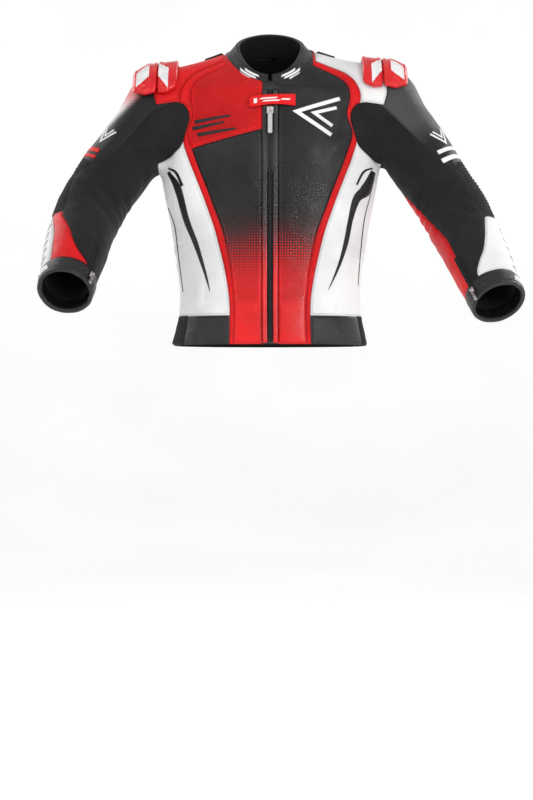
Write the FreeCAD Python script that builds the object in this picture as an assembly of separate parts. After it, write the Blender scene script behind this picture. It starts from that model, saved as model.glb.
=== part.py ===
"""Two-colour leather riding jacket with articulated sleeves, as separate panels, zips, armour and trim.

Frame: +Z up, the front of the jacket faces -Y and the wearer's left side is +X. The origin is the centre of
the neck opening at the height of the shoulder seam, where a neck or a hanger holds the jacket up.
All lengths are in millimetres. Every leather panel is a patch of one smooth body shape, held 0.5 mm back from
its neighbours where the seam runs.
"""
import FreeCAD, Part

import math
import os

V = FreeCAD.Vector

# ---------------------------------------------------------------- driving dimensions
LEATHER = 2.4              # panel thickness with its backing
SEAM_GAP = 0.5             # each panel stops this far short of the seam line
HEM_Z = -528.0             # bottom edge of the waistband
WAIST_SEAM_Z = -476.0      # seam between the body and the waistband
ZIP_TOP = (-90.0, -60.0)   # y, z of the front centre line at the collar
ZIP_BOTTOM = (-108.0, -528.0)
ZIP_TAPE_HALF = 11.0       # half width of the closed front zip
PLACKET_OUT = 14.0         # x of the seam between placket and front panel
SIDE_SEAM_DEG = 92.0       # side seam, measured from the front round to the back
WAIST_STRETCH_DEG = (76.0, 104.0)
BACK_PANEL_HALF = 82.0     # half width of the centre back panel
BACK_STRETCH_TOP = -398.0
BACK_YOKE_Z = -84.0
UNDERARM_Z = -208.0        # top of the side seam
ARMHOLE_BACK = [(-182, 177), (-150, 170), (-112, 168), (-84, 174)]   # z, x of the armhole's back edge
ARMHOLE_TOP_X = 206.0
BLADE_SETBACK = 8.0        # the shoulder-blade patch ends this far inside the armhole
BACK_SIDE_DROP = 14.0      # its lower neighbour stops this far below the armhole at the side seam
STANDOFF = 0.35            # smallest gap between pieces that lie on each other

# height, half width, back depth, centre y of the body's cross-section
BODY_SECTIONS = [
    (-560, 180, 113, 0), (-528, 179, 112, 0), (-476, 169, 106, 0), (-424, 166, 105, 0),
    (-330, 179, 117, 0), (-257, 193, 127, 3), (-200, 200, 133, 5), (-150, 196, 136, 8),
    (-100, 180, 130, 10), (-60, 150, 112, 12), (-20, 105, 82, 15), (15, 60, 45, 18),
]
BODY_ROUNDNESS = 2.35      # exponent of the cross-section's superellipse
NECK_FRONT_DEPTH = [(-60, 102), (-20, 62), (15, 24)]   # front depth above the top of the zip
CHEST_BUMP = (78, -178, 7, 62)   # x, z, height and spread of the fullness on each side of the chest

# shoulder girdle and sleeves; the wearer's right is side -1
GIRDLE_START = V(0, 12, -34)
GIRDLE_RADIUS = (64, 61)
ARMS = {
    -1: {"girdle": V(-200, 8, -83), "shoulder": V(-199, 5, -88), "elbow": V(-335, -30, -275),
         "wrist": V(-359, -222, -441)},
    1: {"girdle": V(205, 8, -72), "shoulder": V(214, 5, -86), "elbow": V(344, -30, -286),
        "wrist": V(404, -186, -459)},
}
SLEEVE_RADII = (63, 61, 56, 47)   # shoulder, elbow, mid forearm, wrist
ELBOW_ROUND = 75.0                # how far from the elbow the sleeve starts to bend
BLEND_GIRDLE = 55.0
BLEND_SLEEVE = 26.0

# front edge of the red band and of the side panel: (x, z) up from the hem to the collar
BAND_INNER = [(67, -528), (67, -440), (82, -340), (107, -268), (146, -165), (151, -140), (142, -106), (147, -74),
              (143, -54), (129, -39), (106, -27), (79, -14)]
BAND_OUTER = [(74, -528), (75, -440), (95, -340), (119, -268), (157, -168), (160, -145), (152, -110), (166, -80),
              (160, -50), (138, -27), (109, -15), (84, -4)]
CHEST_CUT = [(14, -137), (144, -171)]   # sloping seam below the upper chest panel

NODES = {}
FORWARD = 1                # a ruled face keeps both its edges' directions


# ---------------------------------------------------------------- the smooth body shape
def smooth_table(table, z):
    """Cubic through a table's rows: the first column is the key, the rest are returned."""
    rows = table
    if z <= rows[0][0]:
        return rows[0][1:]
    if z >= rows[-1][0]:
        return rows[-1][1:]
    i = max(k for k in range(len(rows) - 1) if rows[k][0] <= z)
    z0, z1 = rows[i][0], rows[i + 1][0]
    t = (z - z0) / (z1 - z0)
    out = []
    for c in range(1, len(rows[0])):
        def slope(k):
            lo, hi = max(k - 1, 0), min(k + 1, len(rows) - 1)
            return (rows[hi][c] - rows[lo][c]) / (rows[hi][0] - rows[lo][0])
        a, b = rows[i][c], rows[i + 1][c]
        ma, mb = slope(i) * (z1 - z0), slope(i + 1) * (z1 - z0)
        out.append((2 * t**3 - 3 * t**2 + 1) * a + (t**3 - 2 * t**2 + t) * ma
                   + (3 * t**2 - 2 * t**3) * b + (t**3 - t**2) * mb)
    return tuple(out)


def zip_line_y(z):
    """y of the front centre line, which is straight."""
    t = (z - ZIP_TOP[1]) / (ZIP_BOTTOM[1] - ZIP_TOP[1])
    return ZIP_TOP[0] + t * (ZIP_BOTTOM[0] - ZIP_TOP[0])


def front_depth(z, centre_y):
    if z > ZIP_TOP[1]:
        return smooth_table(NECK_FRONT_DEPTH, z)[0]
    return centre_y - zip_line_y(z)


def body_distance(p):
    half_width, back_depth, centre_y = smooth_table(BODY_SECTIONS, p.z)
    dy = p.y - centre_y
    depth = front_depth(p.z, centre_y) if dy < 0 else back_depth
    n = BODY_ROUNDNESS
    norm = ((abs(p.x) / half_width) ** n + (abs(dy) / depth) ** n) ** (1 / n)
    if norm < 1e-6:
        return -min(half_width, depth)
    distance = math.hypot(p.x, dy) * (1 - 1 / norm)
    if dy < 0:
        bx, bz, height, spread = CHEST_BUMP
        distance -= height * math.exp(-((abs(p.x) - bx) ** 2 + (p.z - bz) ** 2) / spread**2)
    return max(distance, p.z - BODY_SECTIONS[-1][0])


def capsule_distance(p, a, b, ra, rb):
    ab = b - a
    t = min(1.0, max(0.0, (p - a).dot(ab) / ab.dot(ab)))
    return (p - a - ab * t).Length - (ra + (rb - ra) * t)


def sleeve_line(side):
    """Points and radii down the middle of a sleeve, bent smoothly at the elbow."""
    arm = ARMS[side]
    s, e, w = arm["shoulder"], arm["elbow"], arm["wrist"]
    upper, lower = (e - s).normalize(), (w - e).normalize()
    start, end = e - upper * ELBOW_ROUND, e + lower * ELBOW_ROUND
    points = [s, s + (start - s) * 0.5]
    for k in range(7):
        t = k / 6
        points.append(start * (1 - t) ** 2 + e * (2 * t * (1 - t)) + end * t**2)
    points += [end + (w - end) * 0.5, w]
    lengths = [0.0]
    for a, b in zip(points, points[1:]):
        lengths.append(lengths[-1] + (b - a).Length)
    total = lengths[-1]
    knots = [(0.0, SLEEVE_RADII[0]), (0.48, SLEEVE_RADII[1]), (0.75, SLEEVE_RADII[2]), (1.0, SLEEVE_RADII[3])]
    radii = [smooth_table(knots, length / total)[0] for length in lengths]
    return points, radii, lengths


SLEEVE_LINES = {side: sleeve_line(side) for side in ARMS}


def smooth_min(a, b, reach):
    h = max(reach - abs(a - b), 0.0) / reach
    return min(a, b) - h * h * reach / 4


def torso_distance(p):
    """Roughly the distance to the body and shoulders without the sleeves, negative inside."""
    side = -1 if p.x < 0 else 1
    girdle = capsule_distance(p, GIRDLE_START, ARMS[side]["girdle"], *GIRDLE_RADIUS)
    return smooth_min(body_distance(p), girdle, BLEND_GIRDLE)


def jacket_distance(p):
    """Roughly the distance to the whole jacket's outer surface, negative inside."""
    points, radii, _ = SLEEVE_LINES[-1 if p.x < 0 else 1]
    sleeve = min(capsule_distance(p, points[i], points[i + 1], radii[i], radii[i + 1])
                 for i in range(len(points) - 1))
    return smooth_min(torso_distance(p), sleeve, BLEND_SLEEVE)


def cast(origin, direction, depth=0.0, distance=jacket_distance):
    """The first point outwards from origin that is depth below the surface."""
    near, far = 0.0, 6.0
    while distance(origin + direction * far) < -depth and far < 400:
        near, far = far, far + 6.0
    for _ in range(16):
        middle = (near + far) / 2
        if distance(origin + direction * middle) < -depth:
            near = middle
        else:
            far = middle
    return origin + direction * ((near + far) / 2)


def front_point(x, z, depth=0.0):
    return cast(V(x, 10, z), V(0, -1, 0), depth)


def back_point(x, z, depth=0.0):
    return cast(V(x, 10, z), V(0, 1, 0), depth)


def side_point(side, degrees, z, depth=0.0):
    """degrees runs from 0 at the front centre to 180 at the back centre."""
    a = math.radians(degrees)
    centre_y = smooth_table(BODY_SECTIONS, z)[2]
    return cast(V(0, centre_y, z), V(side * math.sin(a), -math.cos(a), 0), depth, torso_distance)


def front_degrees(x, z):
    """The side_point angle of the front point at x, z."""
    p = front_point(x, z)
    centre_y = smooth_table(BODY_SECTIONS, z)[2]
    return math.degrees(math.atan2(abs(p.x), centre_y - p.y))


# ---------------------------------------------------------------- solids from grids of points
def sew_solid(faces):
    shell = Part.makeShell(faces)
    shell.sewShape()
    solid = Part.makeSolid(shell)
    if solid.Volume < 0:
        solid.reverse()
    return solid


def grid_surface(rows):
    surface = Part.BSplineSurface()
    surface.interpolate(rows)
    return surface


def surface_edges(surface):
    u0, u1, v0, v1 = surface.bounds()
    return [surface.uIso(u0).toShape(v0, v1), surface.uIso(u1).toShape(v0, v1),
            surface.vIso(v0).toShape(u0, u1), surface.vIso(v1).toShape(u0, u1)]


def thick_patch(point_at, columns, rows, outer_depth=0.0, inner_depth=LEATHER):
    """A closed solid between two depths below the body surface. point_at(u, v, depth) gives its points."""
    faces, edges = [], []
    for depth in (outer_depth, inner_depth):
        grid = [[point_at(i / (columns - 1), j / (rows - 1), depth) for j in range(rows)] for i in range(columns)]
        surface = grid_surface(grid)
        faces.append(surface.toShape())
        edges.append(surface_edges(surface))
    faces += [Part.makeRuledSurface(a, b, FORWARD) for a, b in zip(*edges)]
    return sew_solid(faces)


def row_at(table, t):
    """A point on a smooth curve through (x, z) rows; t runs from 0 to 1 along its length."""
    keys = [0.0]
    for (xa, za), (xb, zb) in zip(table, table[1:]):
        keys.append(keys[-1] + math.hypot(xb - xa, zb - za))
    return smooth_table([(key, *row) for key, row in zip(keys, table)], t * keys[-1])


def x_at_height(edge, z):
    """x where a rising (x, z) edge reaches height z."""
    low, high = 0.0, 1.0
    for _ in range(24):
        middle = (low + high) / 2
        if row_at(edge, middle)[1] < z:
            low = middle
        else:
            high = middle
    return row_at(edge, low)[0]


def stretch_of(edge, z_low, z_high, steps=9):
    """The part of a rising edge between two heights, as evenly spaced (x, z) rows."""
    heights = [z_low + (z_high - z_low) * k / (steps - 1) for k in range(steps)]
    return [(x_at_height(edge, z), z) for z in heights]


def front_patch(side, inner_edge, outer_edge, columns, rows, neck_sag=0.0, **depths):
    """A front panel between two edges, each a list of (x, z) from the bottom up."""
    def point_at(u, v, depth):
        (xa, za), (xb, zb) = row_at(inner_edge, v), row_at(outer_edge, v)
        width = math.hypot(xb - xa, zb - za)
        t = (SEAM_GAP + u * (width - 2 * SEAM_GAP)) / width
        sag = neck_sag * 4 * t * (1 - t) * v**6
        return front_point(side * (xa + (xb - xa) * t), za + (zb - za) * t - sag, depth)
    return thick_patch(point_at, columns, rows, **depths)


def add(name, shape):
    NODES[name] = shape


# ---------------------------------------------------------------- body panels
def front_panels():
    neck_inner = -57
    low, cut_inner, cut_outer = HEM_Z, CHEST_CUT[0][1], CHEST_CUT[1][1]
    top_outer = BAND_INNER[-1][1]

    def placket(z_low, z_high):
        return [(PLACKET_OUT, z_low), (PLACKET_OUT, z_high)]
    add("front_panel_left", front_patch(1, placket(low, neck_inner), BAND_INNER, 6, 18, neck_sag=7.0))
    add("front_panel_right", front_patch(-1, placket(low, cut_inner - 2 * SEAM_GAP),
                                         stretch_of(BAND_INNER, low, cut_outer - 2 * SEAM_GAP), 6, 12))
    add("chest_panel_right", front_patch(-1, placket(cut_inner, neck_inner),
                                         stretch_of(BAND_INNER, cut_outer, top_outer), 6, 10, neck_sag=7.0))


def bands():
    for side, word in ((-1, "right"), (1, "left")):
        add(f"band_{word}", front_patch(side, BAND_INNER, BAND_OUTER, 3, 26))


def side_panels():
    """White panels from the band round to the side seam, and from there to the back panel."""
    edge = stretch_of(BAND_OUTER, WAIST_SEAM_Z, -172)
    for side, word in ((-1, "right"), (1, "left")):
        def point_at(u, v, depth):
            x, z_edge = row_at(edge, v)
            z_seam = WAIST_SEAM_Z + v * (UNDERARM_Z - WAIST_SEAM_Z)
            start = front_degrees(x + 4 * SEAM_GAP, z_edge)
            z = z_edge + (z_seam - z_edge) * u + 2 * SEAM_GAP * (1 - v)
            return side_point(side, start + (SIDE_SEAM_DEG - 0.3 - start) * u, z, depth)
        add(f"side_panel_{word}", thick_patch(point_at, 6, 9))

        def back_at(u, v, depth):
            top = UNDERARM_Z - BACK_SIDE_DROP + (10 + BACK_SIDE_DROP) * u
            z = WAIST_SEAM_Z + 2 * SEAM_GAP + v * (top - WAIST_SEAM_Z)
            p = back_point(side * (BACK_PANEL_HALF + 2 * SEAM_GAP), z)
            centre_y = smooth_table(BODY_SECTIONS, z)[2]
            end = 180 - math.degrees(math.atan2(abs(p.x), p.y - centre_y))
            return side_point(side, SIDE_SEAM_DEG + 0.3 + (end - SIDE_SEAM_DEG - 0.3) * u, z, depth)

        def blade_at(u, v, depth):
            low = UNDERARM_Z + 10 + 2 * SEAM_GAP
            z = low + v * (BACK_YOKE_Z - SEAM_GAP - low)
            inner, outer = BACK_PANEL_HALF + 2 * SEAM_GAP, smooth_table(ARMHOLE_BACK, z)[0] - BLADE_SETBACK
            return back_point(side * (inner + (outer - inner) * u), z, depth)
        add(f"back_side_panel_{word}", Part.makeCompound([thick_patch(back_at, 6, 8), thick_patch(blade_at, 5, 6)]))


def back_panels():
    half = BACK_PANEL_HALF

    def centre_at(u, v, depth):
        z = BACK_STRETCH_TOP + SEAM_GAP + v * (BACK_YOKE_Z - SEAM_GAP - BACK_STRETCH_TOP - SEAM_GAP)
        return back_point((2 * u - 1) * (half - SEAM_GAP), z, depth)

    def neck_at(u, v, depth):
        x = (2 * u - 1) * (half + 3)
        top = 12.0 - 14.0 * (2 * u - 1) ** 2
        return back_point(x, BACK_YOKE_Z + SEAM_GAP + v * (top - BACK_YOKE_Z), depth)
    add("back_centre_panel", Part.makeCompound([thick_patch(centre_at, 7, 9), thick_patch(neck_at, 7, 6)]))

    def stretch_at(u, v, depth):
        z = WAIST_SEAM_Z + SEAM_GAP + v * (BACK_STRETCH_TOP - SEAM_GAP - WAIST_SEAM_Z - SEAM_GAP)
        return back_point((2 * u - 1) * (half - SEAM_GAP), z, depth)
    add("back_stretch_panel", thick_patch(stretch_at, 7, 4))


YOKE_FRONT_Z = [(86, -3), (109, -14), (138, -26), (158, -45), (166, -56), (180, -50), (204, -34)]
YOKE_OUTER_X = [(0, 182), (0.05, 187), (0.2, 200), (0.4, 203.5), (0.58, 200), (0.73, 187), (0.98, 171), (1, 170)]


def over_shoulder(side, x, degrees, depth=0.0, lift=0.0):
    """A point of the shoulder at x; degrees is 0 at the top, negative in front and positive behind."""
    girdle = ARMS[side]["girdle"]
    t = min(x / abs(girdle.x), 1.12)
    y, z = GIRDLE_START.y + (girdle.y - GIRDLE_START.y) * t, GIRDLE_START.z + (girdle.z - GIRDLE_START.z) * t
    a = math.radians(degrees)
    return cast(V(side * x, y, z - lift), V(0, math.sin(a), math.cos(a)), depth)


def degrees_at(side, x, z, way):
    """The angle at which over_shoulder reaches height z, in front for way -1 and behind for way 1."""
    near, far = 5.0, 150.0
    for _ in range(14):
        middle = (near + far) / 2
        if over_shoulder(side, x, way * middle).z > z:
            near = middle
        else:
            far = middle
    return way * near


def yokes():
    """Leather over the top of each shoulder, from the front seam to the back yoke seam."""
    for side, word in ((-1, "right"), (1, "left")):
        def point_at(u, v, depth):
            x = 87 + u * (smooth_table(YOKE_OUTER_X, v)[0] - 87)
            front_z = smooth_table(YOKE_FRONT_Z, x)[0] + 2 * SEAM_GAP
            front = degrees_at(side, x, front_z, -1)
            back = degrees_at(side, x, BACK_YOKE_Z + SEAM_GAP, 1)
            return over_shoulder(side, x, front + v * (back - front), depth)
        add(f"yoke_{word}", thick_patch(point_at, 7, 9))


def waistbands():
    gap_deg = 0.25
    top = WAIST_SEAM_Z - SEAM_GAP

    def ring(side, start, end):
        """From one side_point angle to another; no start means the red band's edge."""
        def point_at(u, v, depth):
            z = HEM_Z + v * (top - HEM_Z)
            first = start or front_degrees(BAND_OUTER[0][0] + 2 * SEAM_GAP, z)
            return side_point(side, first + (end - first) * u, z, depth)
        return thick_patch(point_at, 7, 3)

    for side, word in ((-1, "right"), (1, "left")):
        add(f"waistband_{word}", ring(side, None, WAIST_STRETCH_DEG[0] - gap_deg))
    add("waist_stretch_panels", Part.makeCompound([ring(s, *WAIST_STRETCH_DEG) for s in (-1, 1)]))

    def back_at(u, v, depth):
        first = WAIST_STRETCH_DEG[1] + gap_deg
        degrees = first + u * (360 - 2 * first)
        return side_point(1, degrees, HEM_Z + v * (top - HEM_Z), depth)
    add("waistband_back", thick_patch(back_at, 11, 3))


# ---------------------------------------------------------------- collar
COLLAR_BASE = {"half_width": 84.0, "front_y": -84.0, "back_y": 70.0, "front_z": -57.0, "side_z": 9.0, "back_z": 17.0}
COLLAR_RIM = {"half_width": 62.0, "front_y": -78.0, "back_y": 58.0, "front_z": -36.0, "side_z": 28.0, "back_z": 62.0}
COLLAR_THICKNESS = 3.0
COLLAR_FRONT_GAP_DEG = 3.0


def collar_ring(ring, degrees):
    """A point on a tilted neck ring; 0 degrees is the front, 90 the wearer's left."""
    a = math.radians(degrees)
    c = math.cos(a)
    y_mid, y_half = (ring["front_y"] + ring["back_y"]) / 2, (ring["back_y"] - ring["front_y"]) / 2
    if c > 0:
        z = ring["side_z"] + (ring["front_z"] - ring["side_z"]) * c**1.25
    else:
        z = ring["side_z"] + (ring["back_z"] - ring["side_z"]) * abs(c)
    return V(ring["half_width"] * math.sin(a), y_mid - y_half * c, z)


def collar_wall(depth, thickness, start=COLLAR_FRONT_GAP_DEG, end=360 - COLLAR_FRONT_GAP_DEG):
    def point_at(u, v, d):
        degrees = start + u * (end - start)
        low, high = collar_ring(COLLAR_BASE, degrees), collar_ring(COLLAR_RIM, degrees)
        a = math.radians(degrees)
        inward = V(-math.sin(a), math.cos(a), -0.25)
        return low + (high - low) * (0.10 + 0.90 * v) + inward * d
    return thick_patch(point_at, 25, 3, outer_depth=depth, inner_depth=depth + thickness)


def collar():
    add("collar_shell", collar_wall(0.0, COLLAR_THICKNESS))


def lining():
    """Mesh lining inside the body, and the soft inner face of the collar."""
    solids = [collar_wall(COLLAR_THICKNESS + STANDOFF, 2.5)]
    for side in (-1, 1):
        def point_at(u, v, depth):
            z = HEM_Z + 30 + v * (UNDERARM_Z - 20 - HEM_Z - 30)
            return side_point(side, 9 + 170 * u, z, depth)
        solids.append(thick_patch(point_at, 11, 7, outer_depth=LEATHER + 4.0, inner_depth=LEATHER + 5.0))
    add("lining", Part.makeCompound(solids))


# ---------------------------------------------------------------- back hump
HUMP = {"top_z": -30.0, "bottom_z": -236.0, "half_width": 58.0, "height": 30.0}


def hump():
    """Streamlined pod on the upper back, blunt below the collar and pointed downwards."""
    def point_at(u, v, depth):
        across = 2 * u - 1
        width = HUMP["half_width"] * (0.35 + 0.65 * math.sin(math.pi * (0.12 + 0.55 * v)))
        z = HUMP["bottom_z"] + v * (HUMP["top_z"] - HUMP["bottom_z"])
        rise = math.sin(math.pi * min(1.0, v**1.5)) ** 0.8 * (1 - across**2) ** 0.7
        foot = back_point(across * width, z)
        return foot + V(0, 1.8 + (2.0 + HUMP["height"] * rise if depth else 0.0), 0)
    add("hump_shell", thick_patch(point_at, 9, 11, outer_depth=1.0, inner_depth=0.0))


# ---------------------------------------------------------------- zips
TEETH_PITCH = 5.0
TOOTH = (3.2, 2.6, 3.0)      # x, y and z size of one front zip tooth
ZIP_DIRECTION = V(0, ZIP_BOTTOM[0] - ZIP_TOP[0], ZIP_BOTTOM[1] - ZIP_TOP[1]).normalize()
SLIDER_TOP_Z = -98.0
SLIDER = (12.0, 7.5, 15.0)   # width, depth and height of the front slider
PULLER = (8.0, 2.2, 36.0)
BRIDGE = 3.4                 # radius of the slider's bridge
BRIDGE_TUBE = 0.31           # its thickness, as a share of that radius
RING_OF_BRIDGE = 0.95        # radius of the puller's ring, as a share of the bridge's
RING_TUBE = 0.45             # half thickness of the ring, as a share of the puller's
EYE_GAP = 0.5
SLIDER_FORWARD = 8.75        # the slider's centre, in front of the zip's plane


def zip_frame(z, forward=0.0):
    """A placement on the front centre line whose local -Z runs down the zip and local -Y points forward."""
    turn = FreeCAD.Rotation(V(0, 0, -1), ZIP_DIRECTION)
    normal = turn.multVec(V(0, -1, 0))
    return FreeCAD.Placement(V(0, zip_line_y(z), z) + normal * forward, turn)


def placed_box(size, offset, placement):
    box = Part.makeBox(*size, V(offset[0] - size[0] / 2, offset[1] - size[1] / 2, offset[2] - size[2] / 2))
    box.Placement = placement
    return box


def strip(x_from, x_to, z_from, z_to, back, front):
    """A flat strip in the plane of the zip, between two x, two heights and two forward offsets."""
    height = z_to - z_from
    frame = zip_frame((z_from + z_to) / 2)
    return placed_box((x_to - x_from, front - back, height),
                      ((x_from + x_to) / 2, -(front + back) / 2, 0), frame)


def front_zip():
    top, bottom = -66.0, HEM_Z + 6
    tapes = [strip(1.2, ZIP_TAPE_HALF, bottom, top, 0.4, 1.4), strip(-ZIP_TAPE_HALF, -1.2, bottom, top, 0.4, 1.4)]
    add("front_zip_tapes", Part.makeCompound(tapes))
    teeth = []
    count = int((top - bottom - 8) / TEETH_PITCH)
    for k in range(count):
        z = top - 4 - k * TEETH_PITCH
        for side in (-1, 1):
            shift = 0.0 if side < 0 else TEETH_PITCH / 2
            teeth.append(placed_box((TOOTH[0], TOOTH[1], TOOTH[2] * 0.6), (side * 1.05, -3.0, -shift), zip_frame(z)))
    add("front_zip_teeth", Part.makeCompound(teeth))
    flaps = [strip(side * 9.5 - 3.8, side * 9.5 + 3.8, bottom - 4, top + 1, 1.9, 3.5) for side in (-1, 1)]
    add("zip_plackets", Part.makeCompound(flaps))


def eye_forward(size, puller):
    """How far the middle of a slider's bridge, where the puller hangs, is in front of the slider's centre."""
    return size[1] / 2 + puller[1] * RING_TUBE + EYE_GAP


def slider_shape(size, puller, bridge):
    """Slider body with a raised bridge that holds the puller; local origin at the body's centre."""
    width, depth, height = size
    body = Part.makeBox(width, depth, height, V(-width / 2, -depth / 2, -height / 2))
    body = body.makeChamfer(depth * 0.22, body.Edges)
    loop = Part.makeTorus(bridge, bridge * BRIDGE_TUBE, V(0, -eye_forward(size, puller), 0), V(1, 0, 0))
    return body.fuse(loop)


def puller_shape(puller, bridge):
    """Puller blade hanging from a ring that passes through the bridge; local origin at the hinge axis."""
    width, thick, length = puller
    radius = bridge * RING_OF_BRIDGE
    ring = Part.makeTorus(radius, thick * RING_TUBE, V(0, 0, -radius), V(0, 1, 0))
    blade = Part.makeBox(width, thick, length, V(-width / 2, -thick / 2, -length - 2 * radius + thick * RING_TUBE / 2))
    corners = [e for e in blade.Edges if abs(e.Vertexes[0].Point.y - e.Vertexes[1].Point.y) > thick * 0.9]
    blade = blade.makeFillet(width * 0.35, corners)
    return ring.fuse(blade)


def front_slider():
    body = slider_shape(SLIDER, PULLER, BRIDGE)
    seat = zip_frame(SLIDER_TOP_Z - SLIDER[2] / 2, SLIDER_FORWARD)
    body.Placement = seat
    add("front_zip_slider", body)
    puller = puller_shape(PULLER, BRIDGE)
    hinge = seat.multVec(V(0, -eye_forward(SLIDER, PULLER), 0))
    puller.Placement = FreeCAD.Placement(hinge, FreeCAD.Rotation())
    add("front_zip_puller", puller)
    return hinge


def neck_tab():
    """Leather tab across the top of the zip, sewn at the wearer's left and gripping a pad at the right."""
    z_low, z_high = -96.0, -75.0

    def tab_at(u, v, depth):
        x = -38 + 84 * u
        z = z_low + (z_high - z_low) * v + 3.0 * math.sin(math.pi * u) * (1 - v) - 4 * (1 - u) ** 2
        y = zip_line_y(-85) - 8.2 + 4.2 * abs(x / 42) ** 1.6
        return V(x, y - 2.4 + depth, z)
    add("neck_tab", thick_patch(tab_at, 9, 3, outer_depth=0.0, inner_depth=2.2))

    def pad_at(u, v, depth):
        return front_point(-36 + 18 * u, -95 + 17 * v, depth)
    add("neck_tab_hook_pad", thick_patch(pad_at, 3, 3, outer_depth=-2.2, inner_depth=-1.0))


def connection_zip():
    """Half of the zip that joins the jacket to the trousers, sewn inside the hem."""
    low, high = HEM_Z + 3, HEM_Z + 21
    solids = []
    for side in (-1, 1):
        def point_at(u, v, depth):
            return side_point(side, 8 + 171 * u, low + (high - low) * v, depth)
        solids.append(thick_patch(point_at, 13, 3, outer_depth=LEATHER + 1.0, inner_depth=LEATHER + 2.0))
        for k in range(34):
            degrees = 10 + 168 * k / 33
            p = side_point(side, degrees, low - 1, LEATHER + 2.0 + STANDOFF + 1.6)
            turn = FreeCAD.Rotation(V(0, 0, 1), side * degrees)
            tooth = Part.makeBox(5.0, 2.4, 5.5, V(-2.5, -1.2, 0))
            tooth.Placement = FreeCAD.Placement(p, turn)
            solids.append(tooth)
    add("connection_zip", Part.makeCompound(solids))


# ---------------------------------------------------------------- sleeves
class Sleeve:
    """Rings round one sleeve. s runs along its middle in mm; 0 degrees faces outwards, 90 the front."""

    def __init__(self, side):
        self.side = side
        self.points, self.radii, self.lengths = SLEEVE_LINES[side]
        self.total = self.lengths[-1]
        self.rows = [(length, p.x, p.y, p.z) for length, p in zip(self.lengths, self.points)]

    def middle(self, s):
        if s > self.total:
            return self.points[-1] + (self.points[-1] - self.points[-2]).normalize() * (s - self.total)
        return V(*smooth_table(self.rows, s))

    def radius(self, s):
        return smooth_table(list(zip(self.lengths, self.radii)), s)[0]

    def axes(self, s):
        """Unit vectors along, outwards and forwards at s."""
        s = min(max(s, 2.0), self.total - 2.0)
        along = (self.middle(s + 2) - self.middle(s - 2)).normalize()
        outward = V(self.side, 0, 0)
        outward = (outward - along * outward.dot(along)).normalize()
        forward = outward.cross(along) * -self.side
        if forward.y > 0 and abs(forward.y) > abs(forward.z):
            forward = forward * -1
        return along, outward, forward

    def point(self, s, degrees, depth=0.0):
        _, outward, forward = self.axes(s)
        a = math.radians(degrees)
        return self.middle(s) + (outward * math.cos(a) + forward * math.sin(a)) * (self.radius(s) - depth)

    def patch(self, s0, s1, from_deg, to_deg, outer_depth=0.0, inner_depth=LEATHER, columns=9, rows=4):
        """A piece between two places and two angles; s0 may be a function of the angle."""
        def point_at(u, v, depth):
            degrees = from_deg + u * (to_deg - from_deg)
            start = s0(degrees) if callable(s0) else s0
            return self.point(start + v * (s1 - start), degrees, depth)
        return thick_patch(point_at, columns, rows, outer_depth, inner_depth)

    def ring(self, s0, s1, outer_depth=0.0, inner_depth=LEATHER, sections=3):
        """A closed tube wall."""
        def lofted(depth, extra):
            wires = []
            for k in range(sections):
                s = s0 - extra + (s1 - s0 + 2 * extra) * k / (sections - 1)
                curve = Part.BSplineCurve()
                curve.interpolate([self.point(s, 360 * i / 16, depth) for i in range(16)], PeriodicFlag=True)
                wires.append(Part.Wire([curve.toShape()]))
            return Part.makeLoft(wires, True)
        return lofted(outer_depth, 0.0).cut(lofted(inner_depth, 0.5))


CUP_SPLIT_X = 206.0       # the shoulder cup's two halves meet here
CUP_WIDTH = 36.0
CUP_HALF_DEG = 58.0
CUP_TILT = 8.0
CUP_STANDOFF = (8.2, 10.4)  # inner and outer cup
CUP_RISE = 6.0
GUSSET_END = 128.0        # where the stretch part of the shoulder gives way to the firm sleeve
GUSSET_DIP = 24.0
ELBOW_START = 176.0       # stretch part of the elbow, measured along the sleeve
ELBOW_END = 292.0
CUFF_LENGTH = 34.0
ZIP_DEG = 148.0           # where the cuff zip runs round the forearm
SEAM_DEG = (-78.0, 62.0)  # edges of the outer leather, measured round the sleeve
CUFF_ZIP_LENGTH = 96.0
CUFF_SLIDER = (8.0, 5.0, 11.0)
CUFF_PULLER = (5.5, 1.6, 20.0)
CUFF_BRIDGE = 2.4
CUFF_SLIDER_BACK = 8.0    # the closed slider's distance from the zip's lower end
CUFF_SLIDER_FORWARD = 4.9


def armhole(side):
    """Points round the armhole, each with its angle: 0 at the top, 90 in front, 180 under the arm."""
    def over(degrees, x):
        a = math.radians(degrees)
        return cast(V(side * x, 5, -108), V(0, -math.sin(a), math.cos(a)))
    rows = [(0, over(0, ARMHOLE_TOP_X)), (22, over(22, 203)), (40, over(40, 191))]
    for degrees, z in ((58, -80), (85, -106), (112, -138), (138, -166)):
        rows.append((degrees, front_point(side * (x_at_height(BAND_OUTER, z) + 3), z)))
    rows += [(158, V(side * 186, -42, -188)), (180, V(side * 205, 4, UNDERARM_Z + 4)), (204, V(side * 196, 48, -192))]
    for k, (z, x) in enumerate(ARMHOLE_BACK):
        rows.append((228 + k * 72 / (len(ARMHOLE_BACK) - 1), back_point(side * x, z)))
    rows += [(320, over(-40, 191)), (338, over(-22, 203)), (360, over(0, ARMHOLE_TOP_X))]
    return [(degrees, p.x, p.y, p.z) for degrees, p in rows]


def gusset_end(degrees):
    """Where the stretch of the shoulder ends; it reaches further down on the inner side."""
    first, last = SEAM_DEG[1], SEAM_DEG[0] + 360
    if not first < degrees < last:
        return GUSSET_END
    return GUSSET_END + GUSSET_DIP * math.sin(math.pi * (degrees - first) / (last - first)) ** 2


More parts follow.
